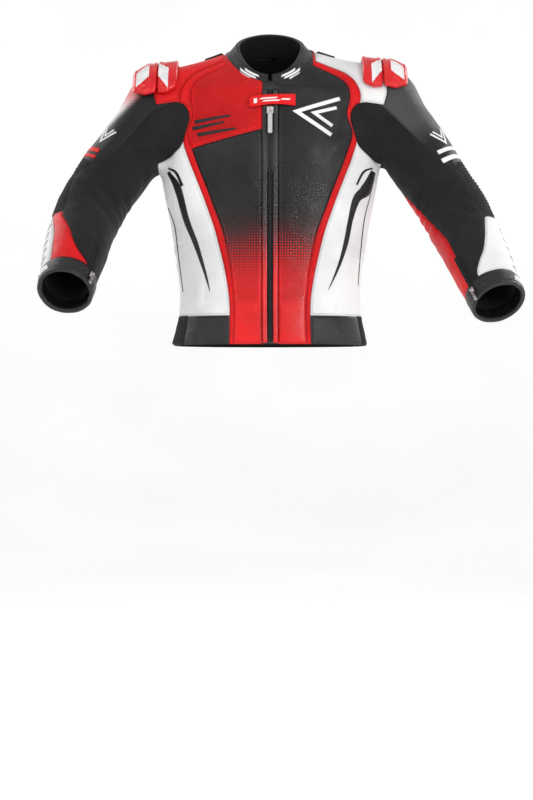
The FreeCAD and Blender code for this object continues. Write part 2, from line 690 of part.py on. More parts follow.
def shoulder_gusset(sleeve):
    """Stretch tube from the armhole to the firm sleeve, made as a front and a back half."""
    edge = armhole(sleeve.side)
    hole_middle = V(sleeve.side * 180, 6, -108)

    def half(from_deg, to_deg):
        def point_at(u, v, depth):
            degrees = from_deg + u * (to_deg - from_deg)
            end_s = gusset_end(degrees) - 4 * SEAM_GAP
            start, end = V(*smooth_table(edge, degrees)), sleeve.point(end_s, degrees)
            middle = hole_middle + (sleeve.middle(end_s) - hole_middle) * v
            return cast(middle, (start + (end - start) * v - middle).normalize(), depth)
        return thick_patch(point_at, 13, 6)
    return Part.makeCompound([half(0.4, 179.6), half(180.4, 359.6)])


def cuff_zip(sleeve, word):
    """Short zip along the inner side of the forearm, with its slider and puller."""
    s_end = sleeve.total - 8.0
    s_start = s_end - CUFF_ZIP_LENGTH
    tape = sleeve.patch(s_start, s_end, ZIP_DEG - 8, ZIP_DEG + 8, outer_depth=-1.6, inner_depth=-0.6,
                        columns=3, rows=4)
    add(f"cuff_zip_tape_{word}", tape)
    low, high = sleeve.point(s_start, ZIP_DEG, -1.0), sleeve.point(s_end, ZIP_DEG, -1.0)
    run = (high - low).normalize()
    middle = (low + high) * 0.5
    normal = (middle - sleeve.middle((s_start + s_end) / 2)).normalize()
    normal = (normal - run * normal.dot(run)).normalize()
    turn = FreeCAD.Rotation(V(0, -1, 0), normal)
    local_run = turn.multVec(V(0, 0, -1))
    swing = math.degrees(math.atan2(local_run.cross(run).dot(normal), local_run.dot(run)))
    turn = FreeCAD.Rotation(normal, swing).multiply(turn)
    lift = max((sleeve.point(s, ZIP_DEG, -2.0) - low).dot(normal) for s in (s_start, middle_s(s_start, s_end), s_end))

    def on_zip(distance, forward):
        return FreeCAD.Placement(low + run * distance + normal * (forward + lift), turn)
    teeth = []
    for k in range(int(CUFF_ZIP_LENGTH / 4) - 1):
        teeth.append(placed_box((4.2, 1.8, 2.0), (0, 0, 0), on_zip(4 + 4 * k, 1.1)))
    add(f"cuff_zip_teeth_{word}", Part.makeCompound(teeth))
    seat = on_zip(CUFF_ZIP_LENGTH - CUFF_SLIDER_BACK, CUFF_SLIDER_FORWARD)
    body = slider_shape(CUFF_SLIDER, CUFF_PULLER, CUFF_BRIDGE)
    body.Placement = seat
    add(f"cuff_zip_slider_{word}", body)
    hinge = seat.multVec(V(0, -eye_forward(CUFF_SLIDER, CUFF_PULLER), 0))
    puller = puller_shape(CUFF_PULLER, CUFF_BRIDGE)
    puller.Placement = FreeCAD.Placement(hinge, turn)
    add(f"cuff_zip_puller_{word}", puller)
    axis = turn.multVec(V(1, 0, 0))
    print("CUFF_ZIP", word, "run", tuple(round(c, 5) for c in run), "hinge", tuple(round(c, 3) for c in hinge),
          "axis", tuple(round(c, 5) for c in axis))


def middle_s(a, b):
    return (a + b) / 2


def sleeves():
    for side, word in ((-1, "right"), (1, "left")):
        sleeve = Sleeve(side)
        firm = (gusset_end, ELBOW_START)
        lower = (ELBOW_END, sleeve.total - CUFF_LENGTH)
        first, last = SEAM_DEG
        add(f"shoulder_gusset_{word}", shoulder_gusset(sleeve))
        add(f"sleeve_outer_{word}", sleeve.patch(*firm, first + 0.5, last - 0.5))
        add(f"sleeve_inner_{word}", sleeve.patch(*firm, last, first + 360, columns=13))
        add(f"elbow_gusset_{word}", sleeve.patch(ELBOW_START + 1, ELBOW_END - 1, last, first + 360, rows=7))
        add(f"elbow_panel_{word}", sleeve.patch(ELBOW_START + 1, ELBOW_END - 1, first + 0.5, last - 0.5, rows=7))
        add(f"forearm_outer_{word}", sleeve.patch(*lower, first + 0.5, last - 0.5))
        add(f"forearm_inner_{word}", sleeve.patch(*lower, last, first + 360))
        add(f"cuff_{word}", sleeve.ring(sleeve.total - CUFF_LENGTH + 1, sleeve.total, inner_depth=4.0))
        add(f"elbow_protector_{word}", sleeve.patch(ELBOW_END + 2, ELBOW_END + 88, -60, 60, outer_depth=LEATHER + 1,
                                                    inner_depth=LEATHER + 6))
        cuff_zip(sleeve, word)
        print("SLEEVE", word, "length", round(sleeve.total, 1))


# ---------------------------------------------------------------- shoulder armour
def shoulder_armour():
    """Hard cups over the shoulder seam and soft protectors inside it."""
    pads = []
    for side, word in ((-1, "right"), (1, "left")):
        def cup(x_from, x_to, half_deg, standoff):
            def point_at(u, v, depth):
                crown = math.sin(math.pi * min(max(u, 0.12), 0.88)) * math.cos((2 * v - 1) * 1.2)
                height = 2.0 + CUP_RISE * crown if depth else 0.0
                return over_shoulder(side, x_from + u * (x_to - x_from), (2 * v - 1) * half_deg - CUP_TILT,
                                     -standoff - height, lift=6.0)
            return thick_patch(point_at, 6, 9, outer_depth=1.0, inner_depth=0.0)
        add(f"shoulder_cup_inner_{word}", cup(CUP_SPLIT_X - CUP_WIDTH, CUP_SPLIT_X - 1, CUP_HALF_DEG + 4,
                                                CUP_STANDOFF[0]))
        add(f"shoulder_cup_outer_{word}", cup(CUP_SPLIT_X + 1, CUP_SPLIT_X + CUP_WIDTH, CUP_HALF_DEG,
                                                CUP_STANDOFF[1]))

        def pad_at(u, v, depth):
            return over_shoulder(side, 150 + 54 * u, -55 + 110 * v, depth)
        pads.append(thick_patch(pad_at, 5, 7, outer_depth=LEATHER + 3, inner_depth=LEATHER + 9))
    add("shoulder_protectors", Part.makeCompound(pads))


def main():
    os.makedirs("parts", exist_ok=True)
    front_panels()
    bands()
    side_panels()
    back_panels()
    yokes()
    waistbands()
    collar()
    hump()
    front_zip()
    hinge = front_slider()
    neck_tab()
    connection_zip()
    lining()
    sleeves()
    shoulder_armour()
    print("FRONT_PULLER_HINGE", tuple(round(c, 3) for c in hinge), "run", tuple(round(c, 5) for c in ZIP_DIRECTION))
    for name, shape in sorted(NODES.items()):
        shape.exportStep(f"parts/{name}.step")
        state = "valid" if shape.isValid() else "INVALID"
        print(f"{name:26s} {len(shape.Solids):4d} solids {shape.Volume / 1000:9.2f} cm3 {state}")
    print(len(NODES), "nodes")


main()
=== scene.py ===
"""Looks of the leather riding jacket: panels, stretch, armour, zips and finishes over the CAD frame.

Shapes are worked out in millimetres in the frame of the CAD model and turned into metres when a mesh is made.
The outer surface repeats the formula of the CAD body, is meshed once, and is cut into panels along smooth
seam lines, so that neighbouring panels meet everywhere. +Z is up, the front faces -Y, side 1 is +X, the
wearer's left.
"""

import math

import bpy
import numpy as np
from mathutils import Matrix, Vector, kdtree
from mathutils.bvhtree import BVHTree


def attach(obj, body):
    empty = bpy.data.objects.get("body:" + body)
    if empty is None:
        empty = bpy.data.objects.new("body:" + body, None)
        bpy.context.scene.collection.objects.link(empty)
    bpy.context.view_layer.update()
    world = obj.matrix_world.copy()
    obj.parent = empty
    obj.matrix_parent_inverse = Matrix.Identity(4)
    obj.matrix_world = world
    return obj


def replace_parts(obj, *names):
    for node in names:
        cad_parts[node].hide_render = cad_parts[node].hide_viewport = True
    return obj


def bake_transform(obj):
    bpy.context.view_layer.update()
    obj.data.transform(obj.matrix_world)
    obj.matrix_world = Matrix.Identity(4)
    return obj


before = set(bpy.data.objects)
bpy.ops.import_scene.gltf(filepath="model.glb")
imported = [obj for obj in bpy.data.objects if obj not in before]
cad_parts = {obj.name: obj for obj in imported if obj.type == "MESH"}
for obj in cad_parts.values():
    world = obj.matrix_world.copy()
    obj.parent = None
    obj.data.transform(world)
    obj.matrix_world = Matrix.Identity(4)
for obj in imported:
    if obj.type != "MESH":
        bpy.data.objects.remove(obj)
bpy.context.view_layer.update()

MM = 0.001
SIDES = ((-1, "right"), (1, "left"))
STEP = 4.2                 # edge length of the surface mesh
SURFACE_BOX = (-470, -262, -534), (512, 162, 24)     # opposite corners of the space that is meshed
LEATHER = 1.5              # thickness of a panel
HEM_Z = -528.0
WAIST_SEAM_Z = -476.0
BACK_PANEL_HALF = 82.0
BACK_STRETCH_TOP = -398.0
BACK_YOKE_Z = -84.0
SHOULDER_SEAM_Y = 8.0
NECK_HALF = 85.0
PLACKET_OUT = 14.0
CHEST_CUT = ((14, -137), (144, -171))
WAIST_STRETCH_DEG = {-1: 70.0, 1: 76.0}      # front edges of the ribbed parts
WAIST_STRETCH_END = 104.0
CUFF_LENGTH = 34.0
ELBOW_RIBS = (176.0, 292.0)
ELBOW_HAND_OVER = 38.0     # the lower sleeve pieces start this far before the elbow
CUFF_ZIP_DEG = 148.0

# ------------------------------------------------------------------ the shape of the jacket's outside
BODY_SECTIONS = [
    (-560, 180, 113, 0), (-528, 179, 112, 0), (-476, 169, 106, 0), (-424, 166, 105, 0),
    (-330, 179, 117, 0), (-257, 193, 127, 3), (-200, 200, 133, 5), (-150, 196, 136, 8),
    (-100, 180, 130, 10), (-60, 150, 112, 12), (-20, 105, 82, 15), (15, 60, 45, 18),
]
ROUNDNESS = 2.35
ZIP_TOP, ZIP_BOTTOM = (-90.0, -60.0), (-108.0, -528.0)
NECK_FRONT_DEPTH = [(-60, 102), (-20, 62), (15, 24)]
CHEST_BUMP = (78, -178, 7, 62)
GIRDLE_START, GIRDLE_RADIUS = (0, 12, -34), (64, 61)
ARMS = {
    -1: {"girdle": (-200, 8, -83), "shoulder": (-199, 5, -88), "elbow": (-335, -30, -275),
         "wrist": (-359, -222, -441)},
    1: {"girdle": (205, 8, -72), "shoulder": (214, 5, -86), "elbow": (344, -30, -286),
        "wrist": (404, -186, -459)},
}
SLEEVE_RADII = [(0.0, 63), (0.48, 61), (0.75, 56), (1.0, 47)]
ELBOW_ROUND = 75.0
BLEND_GIRDLE, BLEND_SLEEVE = 55.0, 26.0
CURVE_STEPS = 8            # short steps between two given points of a line


def smooth_table(table, key):
    """Cubic through a table's rows at many keys; the first column is the key, the rest are returned."""
    rows = np.array(table, float)
    knots, values = rows[:, 0], rows[:, 1:]
    key = np.clip(key, knots[0], knots[-1])
    i = np.clip(np.searchsorted(knots, key, side="right") - 1, 0, len(knots) - 2)
    low = np.maximum(np.arange(len(knots)) - 1, 0)
    high = np.minimum(np.arange(len(knots)) + 1, len(knots) - 1)
    slope = (values[high] - values[low]) / (knots[high] - knots[low])[:, None]
    gap = (knots[i + 1] - knots[i])[..., None]
    t = (key - knots[i])[..., None] / gap
    return ((2 * t**3 - 3 * t**2 + 1) * values[i] + (t**3 - 2 * t**2 + t) * slope[i] * gap
            + (3 * t**2 - 2 * t**3) * values[i + 1] + (t**3 - t**2) * slope[i + 1] * gap)


def arc_lengths(points):
    """How far along a line of points each of them lies."""
    return np.concatenate([[0], np.cumsum(np.linalg.norm(np.diff(points, axis=0), axis=1))])


def smooth_line(points):
    """A smooth curve through given points, as many short steps."""
    pts = np.array(points, float)
    keys = arc_lengths(pts)
    dense = [np.linspace(a, b, CURVE_STEPS, endpoint=False) for a, b in zip(keys[:-1], keys[1:])]
    return smooth_table(np.column_stack([keys, pts]), np.concatenate([*dense, keys[-1:]]))


def zip_y(z):
    return ZIP_TOP[0] + (z - ZIP_TOP[1]) / (ZIP_BOTTOM[1] - ZIP_TOP[1]) * (ZIP_BOTTOM[0] - ZIP_TOP[0])


def smooth_min(a, b, reach):
    h = np.maximum(reach - np.abs(a - b), 0) / reach
    return np.minimum(a, b) - h * h * reach / 4


def signed(degrees):
    """Degrees from -180 to 180."""
    return (degrees + 180) % 360 - 180


def segment_distance(p, a, b):
    """Distance of points to a segment, and the share of the way along it of their nearest points."""
    t = np.clip((p - a) @ (b - a) / ((b - a) @ (b - a)), 0, 1)
    return np.linalg.norm(p - a - t[..., None] * (b - a), axis=-1), t


def capsule_distance(p, a, b, ra, rb):
    """Distance to a rod with round ends whose radius goes from ra to rb."""
    distance, t = segment_distance(p, np.array(a, float), np.array(b, float))
    return distance - (ra + (rb - ra) * t)


def body_distance(p):
    x, y, z = p[..., 0], p[..., 1], p[..., 2]
    half_width, back, centre = np.moveaxis(smooth_table(BODY_SECTIONS, z), -1, 0)
    dy = y - centre
    front = np.where(z > ZIP_TOP[1], smooth_table(NECK_FRONT_DEPTH, z)[..., 0], centre - zip_y(z))
    depth = np.where(dy < 0, front, back)
    norm = ((np.abs(x) / half_width) ** ROUNDNESS + (np.abs(dy) / depth) ** ROUNDNESS) ** (1 / ROUNDNESS)
    distance = np.hypot(x, dy) * (1 - 1 / np.maximum(norm, 1e-4))
    bx, bz, height, spread = CHEST_BUMP
    bump = height * np.exp(-((np.abs(x) - bx) ** 2 + (z - bz) ** 2) / spread**2)
    return np.maximum(distance - np.where(dy < 0, bump, 0), z - BODY_SECTIONS[-1][0])


RUN_ON = 5                 # how far a sleeve's first and last stretch run on, in shares of their length


class Sleeve:
    """The middle line of one sleeve, and places on it: s in mm from the shoulder, degrees round it.

    0 degrees faces outwards, 90 forwards, 180 towards the body, 270 backwards.
    """

    def __init__(self, side, word):
        self.side, self.word = side, word
        s, e, w = (np.array(ARMS[side][k], float) for k in ("shoulder", "elbow", "wrist"))
        self.elbow = e
        upper, lower = (e - s) / np.linalg.norm(e - s), (w - e) / np.linalg.norm(w - e)
        self.bend = (upper + lower) / np.linalg.norm(upper + lower)
        start, end = e - upper * ELBOW_ROUND, e + lower * ELBOW_ROUND
        turn = [start * (1 - t) ** 2 + e * (2 * t * (1 - t)) + end * t**2 for t in np.linspace(0, 1, 7)]
        self.points = np.array([s, (s + start) / 2, *turn, (end + w) / 2, w])
        self.lengths = arc_lengths(self.points)
        self.total = self.lengths[-1]
        self.radii = smooth_table(SLEEVE_RADII, self.lengths / self.total)[:, 0]
        self.rows = np.column_stack([self.lengths, self.points])

    def distance(self, p):
        stretches = zip(self.points[:-1], self.points[1:], self.radii[:-1], self.radii[1:])
        return np.min([capsule_distance(p, *stretch) for stretch in stretches], axis=0)

    def coordinates(self, p):
        """s and degrees of points near the sleeve; s runs on past both ends."""
        best = None
        last = len(self.points) - 2
        for i in range(last + 1):
            a, ab = self.points[i], self.points[i + 1] - self.points[i]
            length = np.linalg.norm(ab)
            t = np.clip((p - a) @ ab / (ab @ ab), 0 if i else -RUN_ON, RUN_ON if i == last else 1)
            off = p - a - t[..., None] * ab
            found = np.column_stack([np.linalg.norm(off, axis=-1), self.lengths[i] + t * length, off,
                                     np.tile(ab / length, (len(p), 1))])
            best = found if best is None else np.where((found[:, 0] < best[:, 0])[:, None], found, best)
        off, along = best[:, 2:5], best[:, 5:8]
        out, forward = self.round_axes(along)
        degrees = np.degrees(np.arctan2((off * forward).sum(1), (off * out).sum(1))) % 360
        return best[:, 1], degrees

    def round_axes(self, along):
        """Directions outwards and forwards across the sleeve, for each direction along it."""
        out = np.array([self.side, 0.0, 0.0]) - along * (along[:, :1] * self.side)
        out /= np.linalg.norm(out, axis=1, keepdims=True)
        return out, np.cross(out, along) * -self.side

    def place(self, s, degrees, height=0.0):
        """Points at s and degrees, height above the round sleeve."""
        s, degrees = np.broadcast_arrays(np.asarray(s, float), degrees)
        inside = np.clip(s, 2, self.total - 2)
        along = smooth_table(self.rows, inside + 2) - smooth_table(self.rows, inside - 2)
        along /= np.linalg.norm(along, axis=1, keepdims=True)
        out, forward = self.round_axes(along)
        a = np.radians(degrees)[:, None]
        radius = smooth_table(np.column_stack([self.lengths, self.radii]), s)
        middle = smooth_table(self.rows, s) + along * np.maximum(s - self.total, 0)[:, None]
        return middle + (out * np.cos(a) + forward * np.sin(a)) * (radius + np.reshape(height, (-1, 1)))

    def inner(self, s):
        """Points on the middle line."""
        return smooth_table(self.rows, s)


SLEEVES = {side: Sleeve(side, word) for side, word in SIDES}


GRADIENT_STEP = 0.6
CAST_START, CAST_STEP, CAST_REACH, CAST_HALVINGS = 6.0, 8.0, 260.0, 14


def torso_distance(p):
    """Roughly the distance to the body and shoulders without the sleeves, negative inside."""
    out = np.empty(p.shape[:-1])
    for side, mask in ((-1, p[..., 0] < 0), (1, p[..., 0] >= 0)):
        q = p[mask]
        girdle = capsule_distance(q, GIRDLE_START, ARMS[side]["girdle"], *GIRDLE_RADIUS)
        out[mask] = smooth_min(body_distance(q), girdle, BLEND_GIRDLE)
    return out


def jacket_distance(p):
    """Roughly the distance to the whole outside of the jacket, negative inside."""
    out = torso_distance(p)
    for side, mask in ((-1, p[..., 0] < 0), (1, p[..., 0] >= 0)):
        out[mask] = smooth_min(out[mask], SLEEVES[side].distance(p[mask]), BLEND_SLEEVE)
    return out


def gradient(field, p):
    """How the field rises along x, y and z, from its values a short way off."""
    return np.column_stack([field(p + GRADIENT_STEP * axis) - field(p - GRADIENT_STEP * axis)
                            for axis in np.eye(3)]) / (2 * GRADIENT_STEP)


def unit(v):
    return v / np.maximum(np.linalg.norm(v, axis=-1, keepdims=True), 1e-9)


def onto_surface(field, p, rounds=3):
    """Points moved along the field's slope onto its zero surface."""
    for _ in range(rounds):
        g = gradient(field, p)
        p = p - g * (field(p) / np.maximum((g * g).sum(1), 0.05))[:, None]
    return p


def cast(field, origins, directions, depth=0.0):
    """The first points outwards from origins that are depth below the field's surface."""
    near, far = np.zeros(len(origins)), np.full(len(origins), CAST_START)
    for _ in range(int(CAST_REACH / CAST_STEP)):
        inside = field(origins + directions * far[:, None]) < -depth
        near, far = np.where(inside, far, near), np.where(inside, far + CAST_STEP, far)
    for _ in range(CAST_HALVINGS):
        middle = (near + far) / 2
        inside = field(origins + directions * middle[:, None]) < -depth
        near, far = np.where(inside, middle, near), np.where(inside, far, middle)
    return origins + directions * near[:, None]


# ------------------------------------------------------------------ meshing the surface
BLOCK = 6                  # grid points along the side of a block that is worked out or skipped as one
FAR = 1e3                  # stands for the field's value far from its surface


def lattice_points(*axes):
    return np.stack(np.meshgrid(*axes, indexing="ij"), -1).reshape(-1, 3)


def field_values(field, base, counts, step):
    """The field on a grid of points, worked out only in the blocks near its surface."""
    values = np.full(counts, FAR)
    blocks = lattice_points(*[np.arange(0, n, BLOCK) for n in counts])
    inner = lattice_points(*[np.arange(BLOCK)] * 3)
    middle = field(base + (blocks + (BLOCK - 1) / 2) * step)
    reach = 2.0 * BLOCK * step
    near = (blocks[np.abs(middle) < reach][:, None] + inner).reshape(-1, 3)
    values[tuple(near.T)] = field(base + near * step)
    deep = (blocks[middle <= -reach][:, None] + inner).reshape(-1, 3)
    values[tuple(deep.T)] = -FAR
    return values


def cell_points(values, cells, corners):
    """The middle of the places where each cell's edges cross the surface, in cells from its first corner."""
    summed, hits = np.zeros((len(cells), 3)), np.zeros(len(cells))
    for i, a in enumerate(corners):
        for b in corners[i + 1:]:
            if np.abs(a - b).sum() != 1:
                continue
            va, vb = values[tuple((cells + a).T)], values[tuple((cells + b).T)]
            crossing = (va < 0) != (vb < 0)
            t = np.where(crossing, va / np.where(crossing, va - vb, 1), 0)[:, None]
            summed += (a + (b - a) * t) * crossing[:, None]
            hits += crossing
    return summed / hits[:, None]


def cell_quads(inside, number):
    """Four cells round each grid edge that crosses the surface; number gives each cell's point."""
    quads = []
    for axis in range(3):
        u, v = (axis + 1) % 3, (axis + 2) % 3
        starts = [slice(1, n - 1) for n in inside.shape]
        ends = list(starts)
        starts[axis], ends[axis] = slice(0, inside.shape[axis] - 1), slice(1, inside.shape[axis])
        a, b = inside[tuple(starts)], inside[tuple(ends)]
        at = np.argwhere(a != b)
        ring = []
        for du, dv in ((0, 0), (1, 0), (1, 1), (0, 1)):
            cell = at + 1
            cell[:, axis] -= 1
            cell[:, u] -= du
            cell[:, v] -= dv
            ring.append(number[tuple(cell.T)])
        quad = np.column_stack(ring)
        turned = ~a[tuple(at.T)]
        quad[turned] = quad[turned][:, ::-1]
        quads.append(quad[(quad >= 0).all(1)])
    return np.vstack(quads)


def surface_mesh(field, low, high, step):
    """Points and triangles of the field's zero surface, evenly spaced, found only near the surface."""
    counts = [int(math.ceil((b - a) / (step * BLOCK))) * BLOCK for a, b in zip(low, high)]
    base = np.array(low, float)
    values = field_values(field, base, counts, step)
    inside = values < 0
    corners = lattice_points(*[[0, 1]] * 3)
    total = sum(inside[tuple(slice(c, n - 1 + c) for c, n in zip(corner, counts))].astype(np.int8)
                for corner in corners)
    cells = np.argwhere((total > 0) & (total < 8))
    number = np.full([n - 1 for n in counts], -1)
    number[tuple(cells.T)] = np.arange(len(cells))
    points = onto_surface(field, base + (cells + cell_points(values, cells, corners)) * step)
    quads = cell_quads(inside, number)
    p = points[quads]
    short = np.linalg.norm(p[:, 0] - p[:, 2], axis=1) < np.linalg.norm(p[:, 1] - p[:, 3], axis=1)
    first = np.where(short[:, None], quads[:, [0, 1, 2]], quads[:, [0, 1, 3]])
    second = np.where(short[:, None], quads[:, [0, 2, 3]], quads[:, [1, 2, 3]])
    return points, np.vstack([first, second])


def face_edges(faces):
    """Every face's edges, one after another round it."""
    return np.stack([faces, np.roll(faces, -1, axis=1)], axis=2).reshape(-1, 2)


class Skin:
    """A triangle mesh that can be cut along the zero line of a function of its points."""
    SNAP = 0.25   # a point nearer than this share of an edge to the cut moves onto it

    def __init__(self, points, faces):
        self.points, self.faces = points, faces
        self.locked = np.zeros(len(points), bool)
        self.depth = np.full(len(points), FAR)    # distance to the nearest seam

    def split(self, faces, rule):
        """Cut faces where rule is zero; returns those below zero and those above."""
        if len(faces) == 0:
            return faces, faces
        used = np.unique(faces)
        value = np.zeros(len(self.points))
        value[used] = rule(self.points[used]) if callable(rule) else rule[used]
        edges, back = np.unique(np.sort(face_edges(faces), axis=1), axis=0, return_inverse=True)
        a, b = edges.T
        crossing = value[a] * value[b] < 0
        share = np.where(crossing, value[a] / np.where(crossing, value[a] - value[b], 1), 0.5)
        old = self.points.copy()
        for end, other, t in ((a, b, share), (b, a, 1 - share)):
            near = np.nonzero(crossing & (t < self.SNAP) & ~self.locked[end])[0]
            near = near[np.argsort(-t[near])]
            self.points[end[near]] = old[end[near]] + (old[other[near]] - old[end[near]]) * t[near, None]
            value[end[near]] = 0
        self.locked[used[value[used] == 0]] = True
        crossing = value[a] * value[b] < 0
        cut = np.nonzero(crossing)[0]
        t = (value[a[cut]] / (value[a[cut]] - value[b[cut]]))[:, None]
        middle = np.full(len(edges), -1)
        middle[cut] = len(self.points) + np.arange(len(cut))
        self.points = np.vstack([self.points, self.points[a[cut]] * (1 - t) + self.points[b[cut]] * t])
        new_depth = self.depth[a[cut]] * (1 - t[:, 0]) + self.depth[b[cut]] * t[:, 0]
        self.depth = np.concatenate([self.depth, new_depth])
        self.locked = np.concatenate([self.locked, np.ones(len(cut), bool)])
        value = np.concatenate([value, np.zeros(len(cut))])
        mids = middle[back].reshape(-1, 3)
        number = (mids >= 0).sum(1)
        parts = [faces[number == 0]]
        one, m = faces[number == 1], mids[number == 1]
        turn = (np.argmax(m >= 0, axis=1)[:, None] + np.arange(3)) % 3
        one, m = np.take_along_axis(one, turn, 1), np.take_along_axis(m, turn, 1)[:, 0]
        parts += [np.column_stack([one[:, 0], m, one[:, 2]]), np.column_stack([m, one[:, 1], one[:, 2]])]
        two, m = faces[number == 2], mids[number == 2]
        turn = ((np.argmin(m >= 0, axis=1) + 2)[:, None] + np.arange(3)) % 3
        two, m = np.take_along_axis(two, turn, 1), np.take_along_axis(m, turn, 1)
        first, last = m[:, 0], m[:, 2]
        parts += [np.column_stack([two[:, 0], first, last]), np.column_stack([first, two[:, 1], two[:, 2]]),
                  np.column_stack([first, two[:, 2], last])]
        out = np.vstack(parts)
        below = value[out].sum(1) < 0
        return out[below], out[~below]

    def score(self, faces, rule):
        """Cut faces where rule is zero and keep both parts."""
        return np.vstack(self.split(faces, rule))

    def half(self, faces, side):
        """The faces on one side of the middle plane."""
        return self.split(faces, lambda p: -side * p[:, 0])[0]


# ------------------------------------------------------------------ seam lines
BAND_INNER = smooth_line([(67, -528), (67, -440), (82, -340), (107, -268), (146, -165), (151, -140),
                          (142, -106), (147, -74), (143, -54), (129, -39), (106, -27), (79, -14)])
BAND_OUTER = smooth_line([(74, -528), (75, -440), (95, -340), (119, -268), (157, -168), (160, -145),
                          (152, -110), (166, -80), (160, -50), (138, -27), (109, -15), (84, -4)])
# the stretch panel under the arm, seen from the front: |x|, z
GUSSET_WINDOW = np.vstack([
    smooth_line([(212, -90), (190, -86), (172, -84), (159, -88), (150, -100), (148, -114), (151, -130),
                 (156, -146), (163, -162), (176, -176), (192, -188), (212, -198)]),
    [(420, -198), (420, -90)]])
# x of the rest of the armhole, by the angle round it: 0 at the top, 90 in front, 180 below
ARMHOLE_X = [(0, 206), (22, 208), (54, 214), (75, 208), (100, 206), (150, 206), (180, 205), (204, 203),
             (228, 178), (252, 170), (276, 168), (300, 174), (320, 191), (338, 203), (360, 206)]
# degrees of the front edge of the firm outer sleeve, by s
SLEEVE_FRONT = {
    -1: [(-60, 112), (0, 106), (26, 95), (53, 89), (85, 86), (120, 84), (147, 78), (169, 67), (190, 48),
         (215, 44), (244, 53), (277, 60), (314, 58), (344, 72), (366, 83), (394, 94), (420, 111), (440, 136),
         (470, 150)],
    1: [(-60, 112), (0, 106), (41, 98), (65, 93), (90, 88), (114, 83), (140, 75), (168, 66), (190, 53),
        (215, 53), (244, 60), (280, 68), (300, 62), (328, 70), (358, 80), (392, 96), (410, 110), (432, 126),
        (470, 124)],
}
SLEEVE_BACK = (-78.0, -132.0)      # degrees of the black leather strip behind each sleeve
FOREARM_SPLIT = [(280, 22), (330, 38), (370, 48), (431, 52), (470, 46)]   # white outside, red in front
INNER_STRIP = [(120, 232), (150, 200), (172, 179), (200, 171), (240, 164), (283, 158), (327, 151), (384, 151),
               (434, 147), (480, 148)]


def edge_x(line, z):
    return np.interp(z, line[:, 1], line[:, 0])


def outline_distance(outline, u, v):
    """Signed distance of the points (u, v) to a closed outline, negative inside."""
    a, b = outline, np.roll(outline, -1, axis=0)
    p = np.column_stack([u, v])[:, None]
    t = np.clip(((p - a) * (b - a)).sum(-1) / np.maximum(((b - a) ** 2).sum(-1), 1e-9), 0, 1)
    distance = np.linalg.norm(p - a - t[..., None] * (b - a), axis=-1).min(1)
    rising = (a[:, 1] > p[..., 1]) != (b[:, 1] > p[..., 1])
    rise = np.where(b[:, 1] == a[:, 1], 1e-9, b[:, 1] - a[:, 1])
    at = a[:, 0] + (p[..., 1] - a[:, 1]) / rise * (b - a)[:, 0]
    inside = (rising & (p[..., 0] < at)).sum(1) % 2 == 1
    return np.where(inside, -distance, distance)


def neck_rule(p):
    norm = (np.abs(p[:, 0] / 81) ** 2.1 + np.abs((p[:, 1] + 7) / 74) ** 2.1) ** (1 / 2.1)
    return np.where(p[:, 2] > -90, (norm - 1) * 78, 50)


def sleeve_rule(p):
    """Negative on the torso, positive on the sleeves."""
    x = np.abs(p[:, 0])
    angle = np.degrees(np.arctan2(-(p[:, 1] - 5), p[:, 2] + 108)) % 360
    ring = x - smooth_table(ARMHOLE_X, angle)[:, 0]
    window = -outline_distance(GUSSET_WINDOW, x, p[:, 2])
    return np.where(p[:, 1] < 5, np.maximum(ring, window), ring)


def chest_cut_rule(p):
    (xa, za), (xb, zb) = CHEST_CUT
    return p[:, 2] - (za + (np.abs(p[:, 0]) - xa) / (xb - xa) * (zb - za))


def torso_degrees(p):
    """0 at the front centre, 180 at the back centre."""
    return np.degrees(np.arctan2(np.abs(p[:, 0]), -(p[:, 1] - smooth_table(BODY_SECTIONS, p[:, 2])[:, 2])))


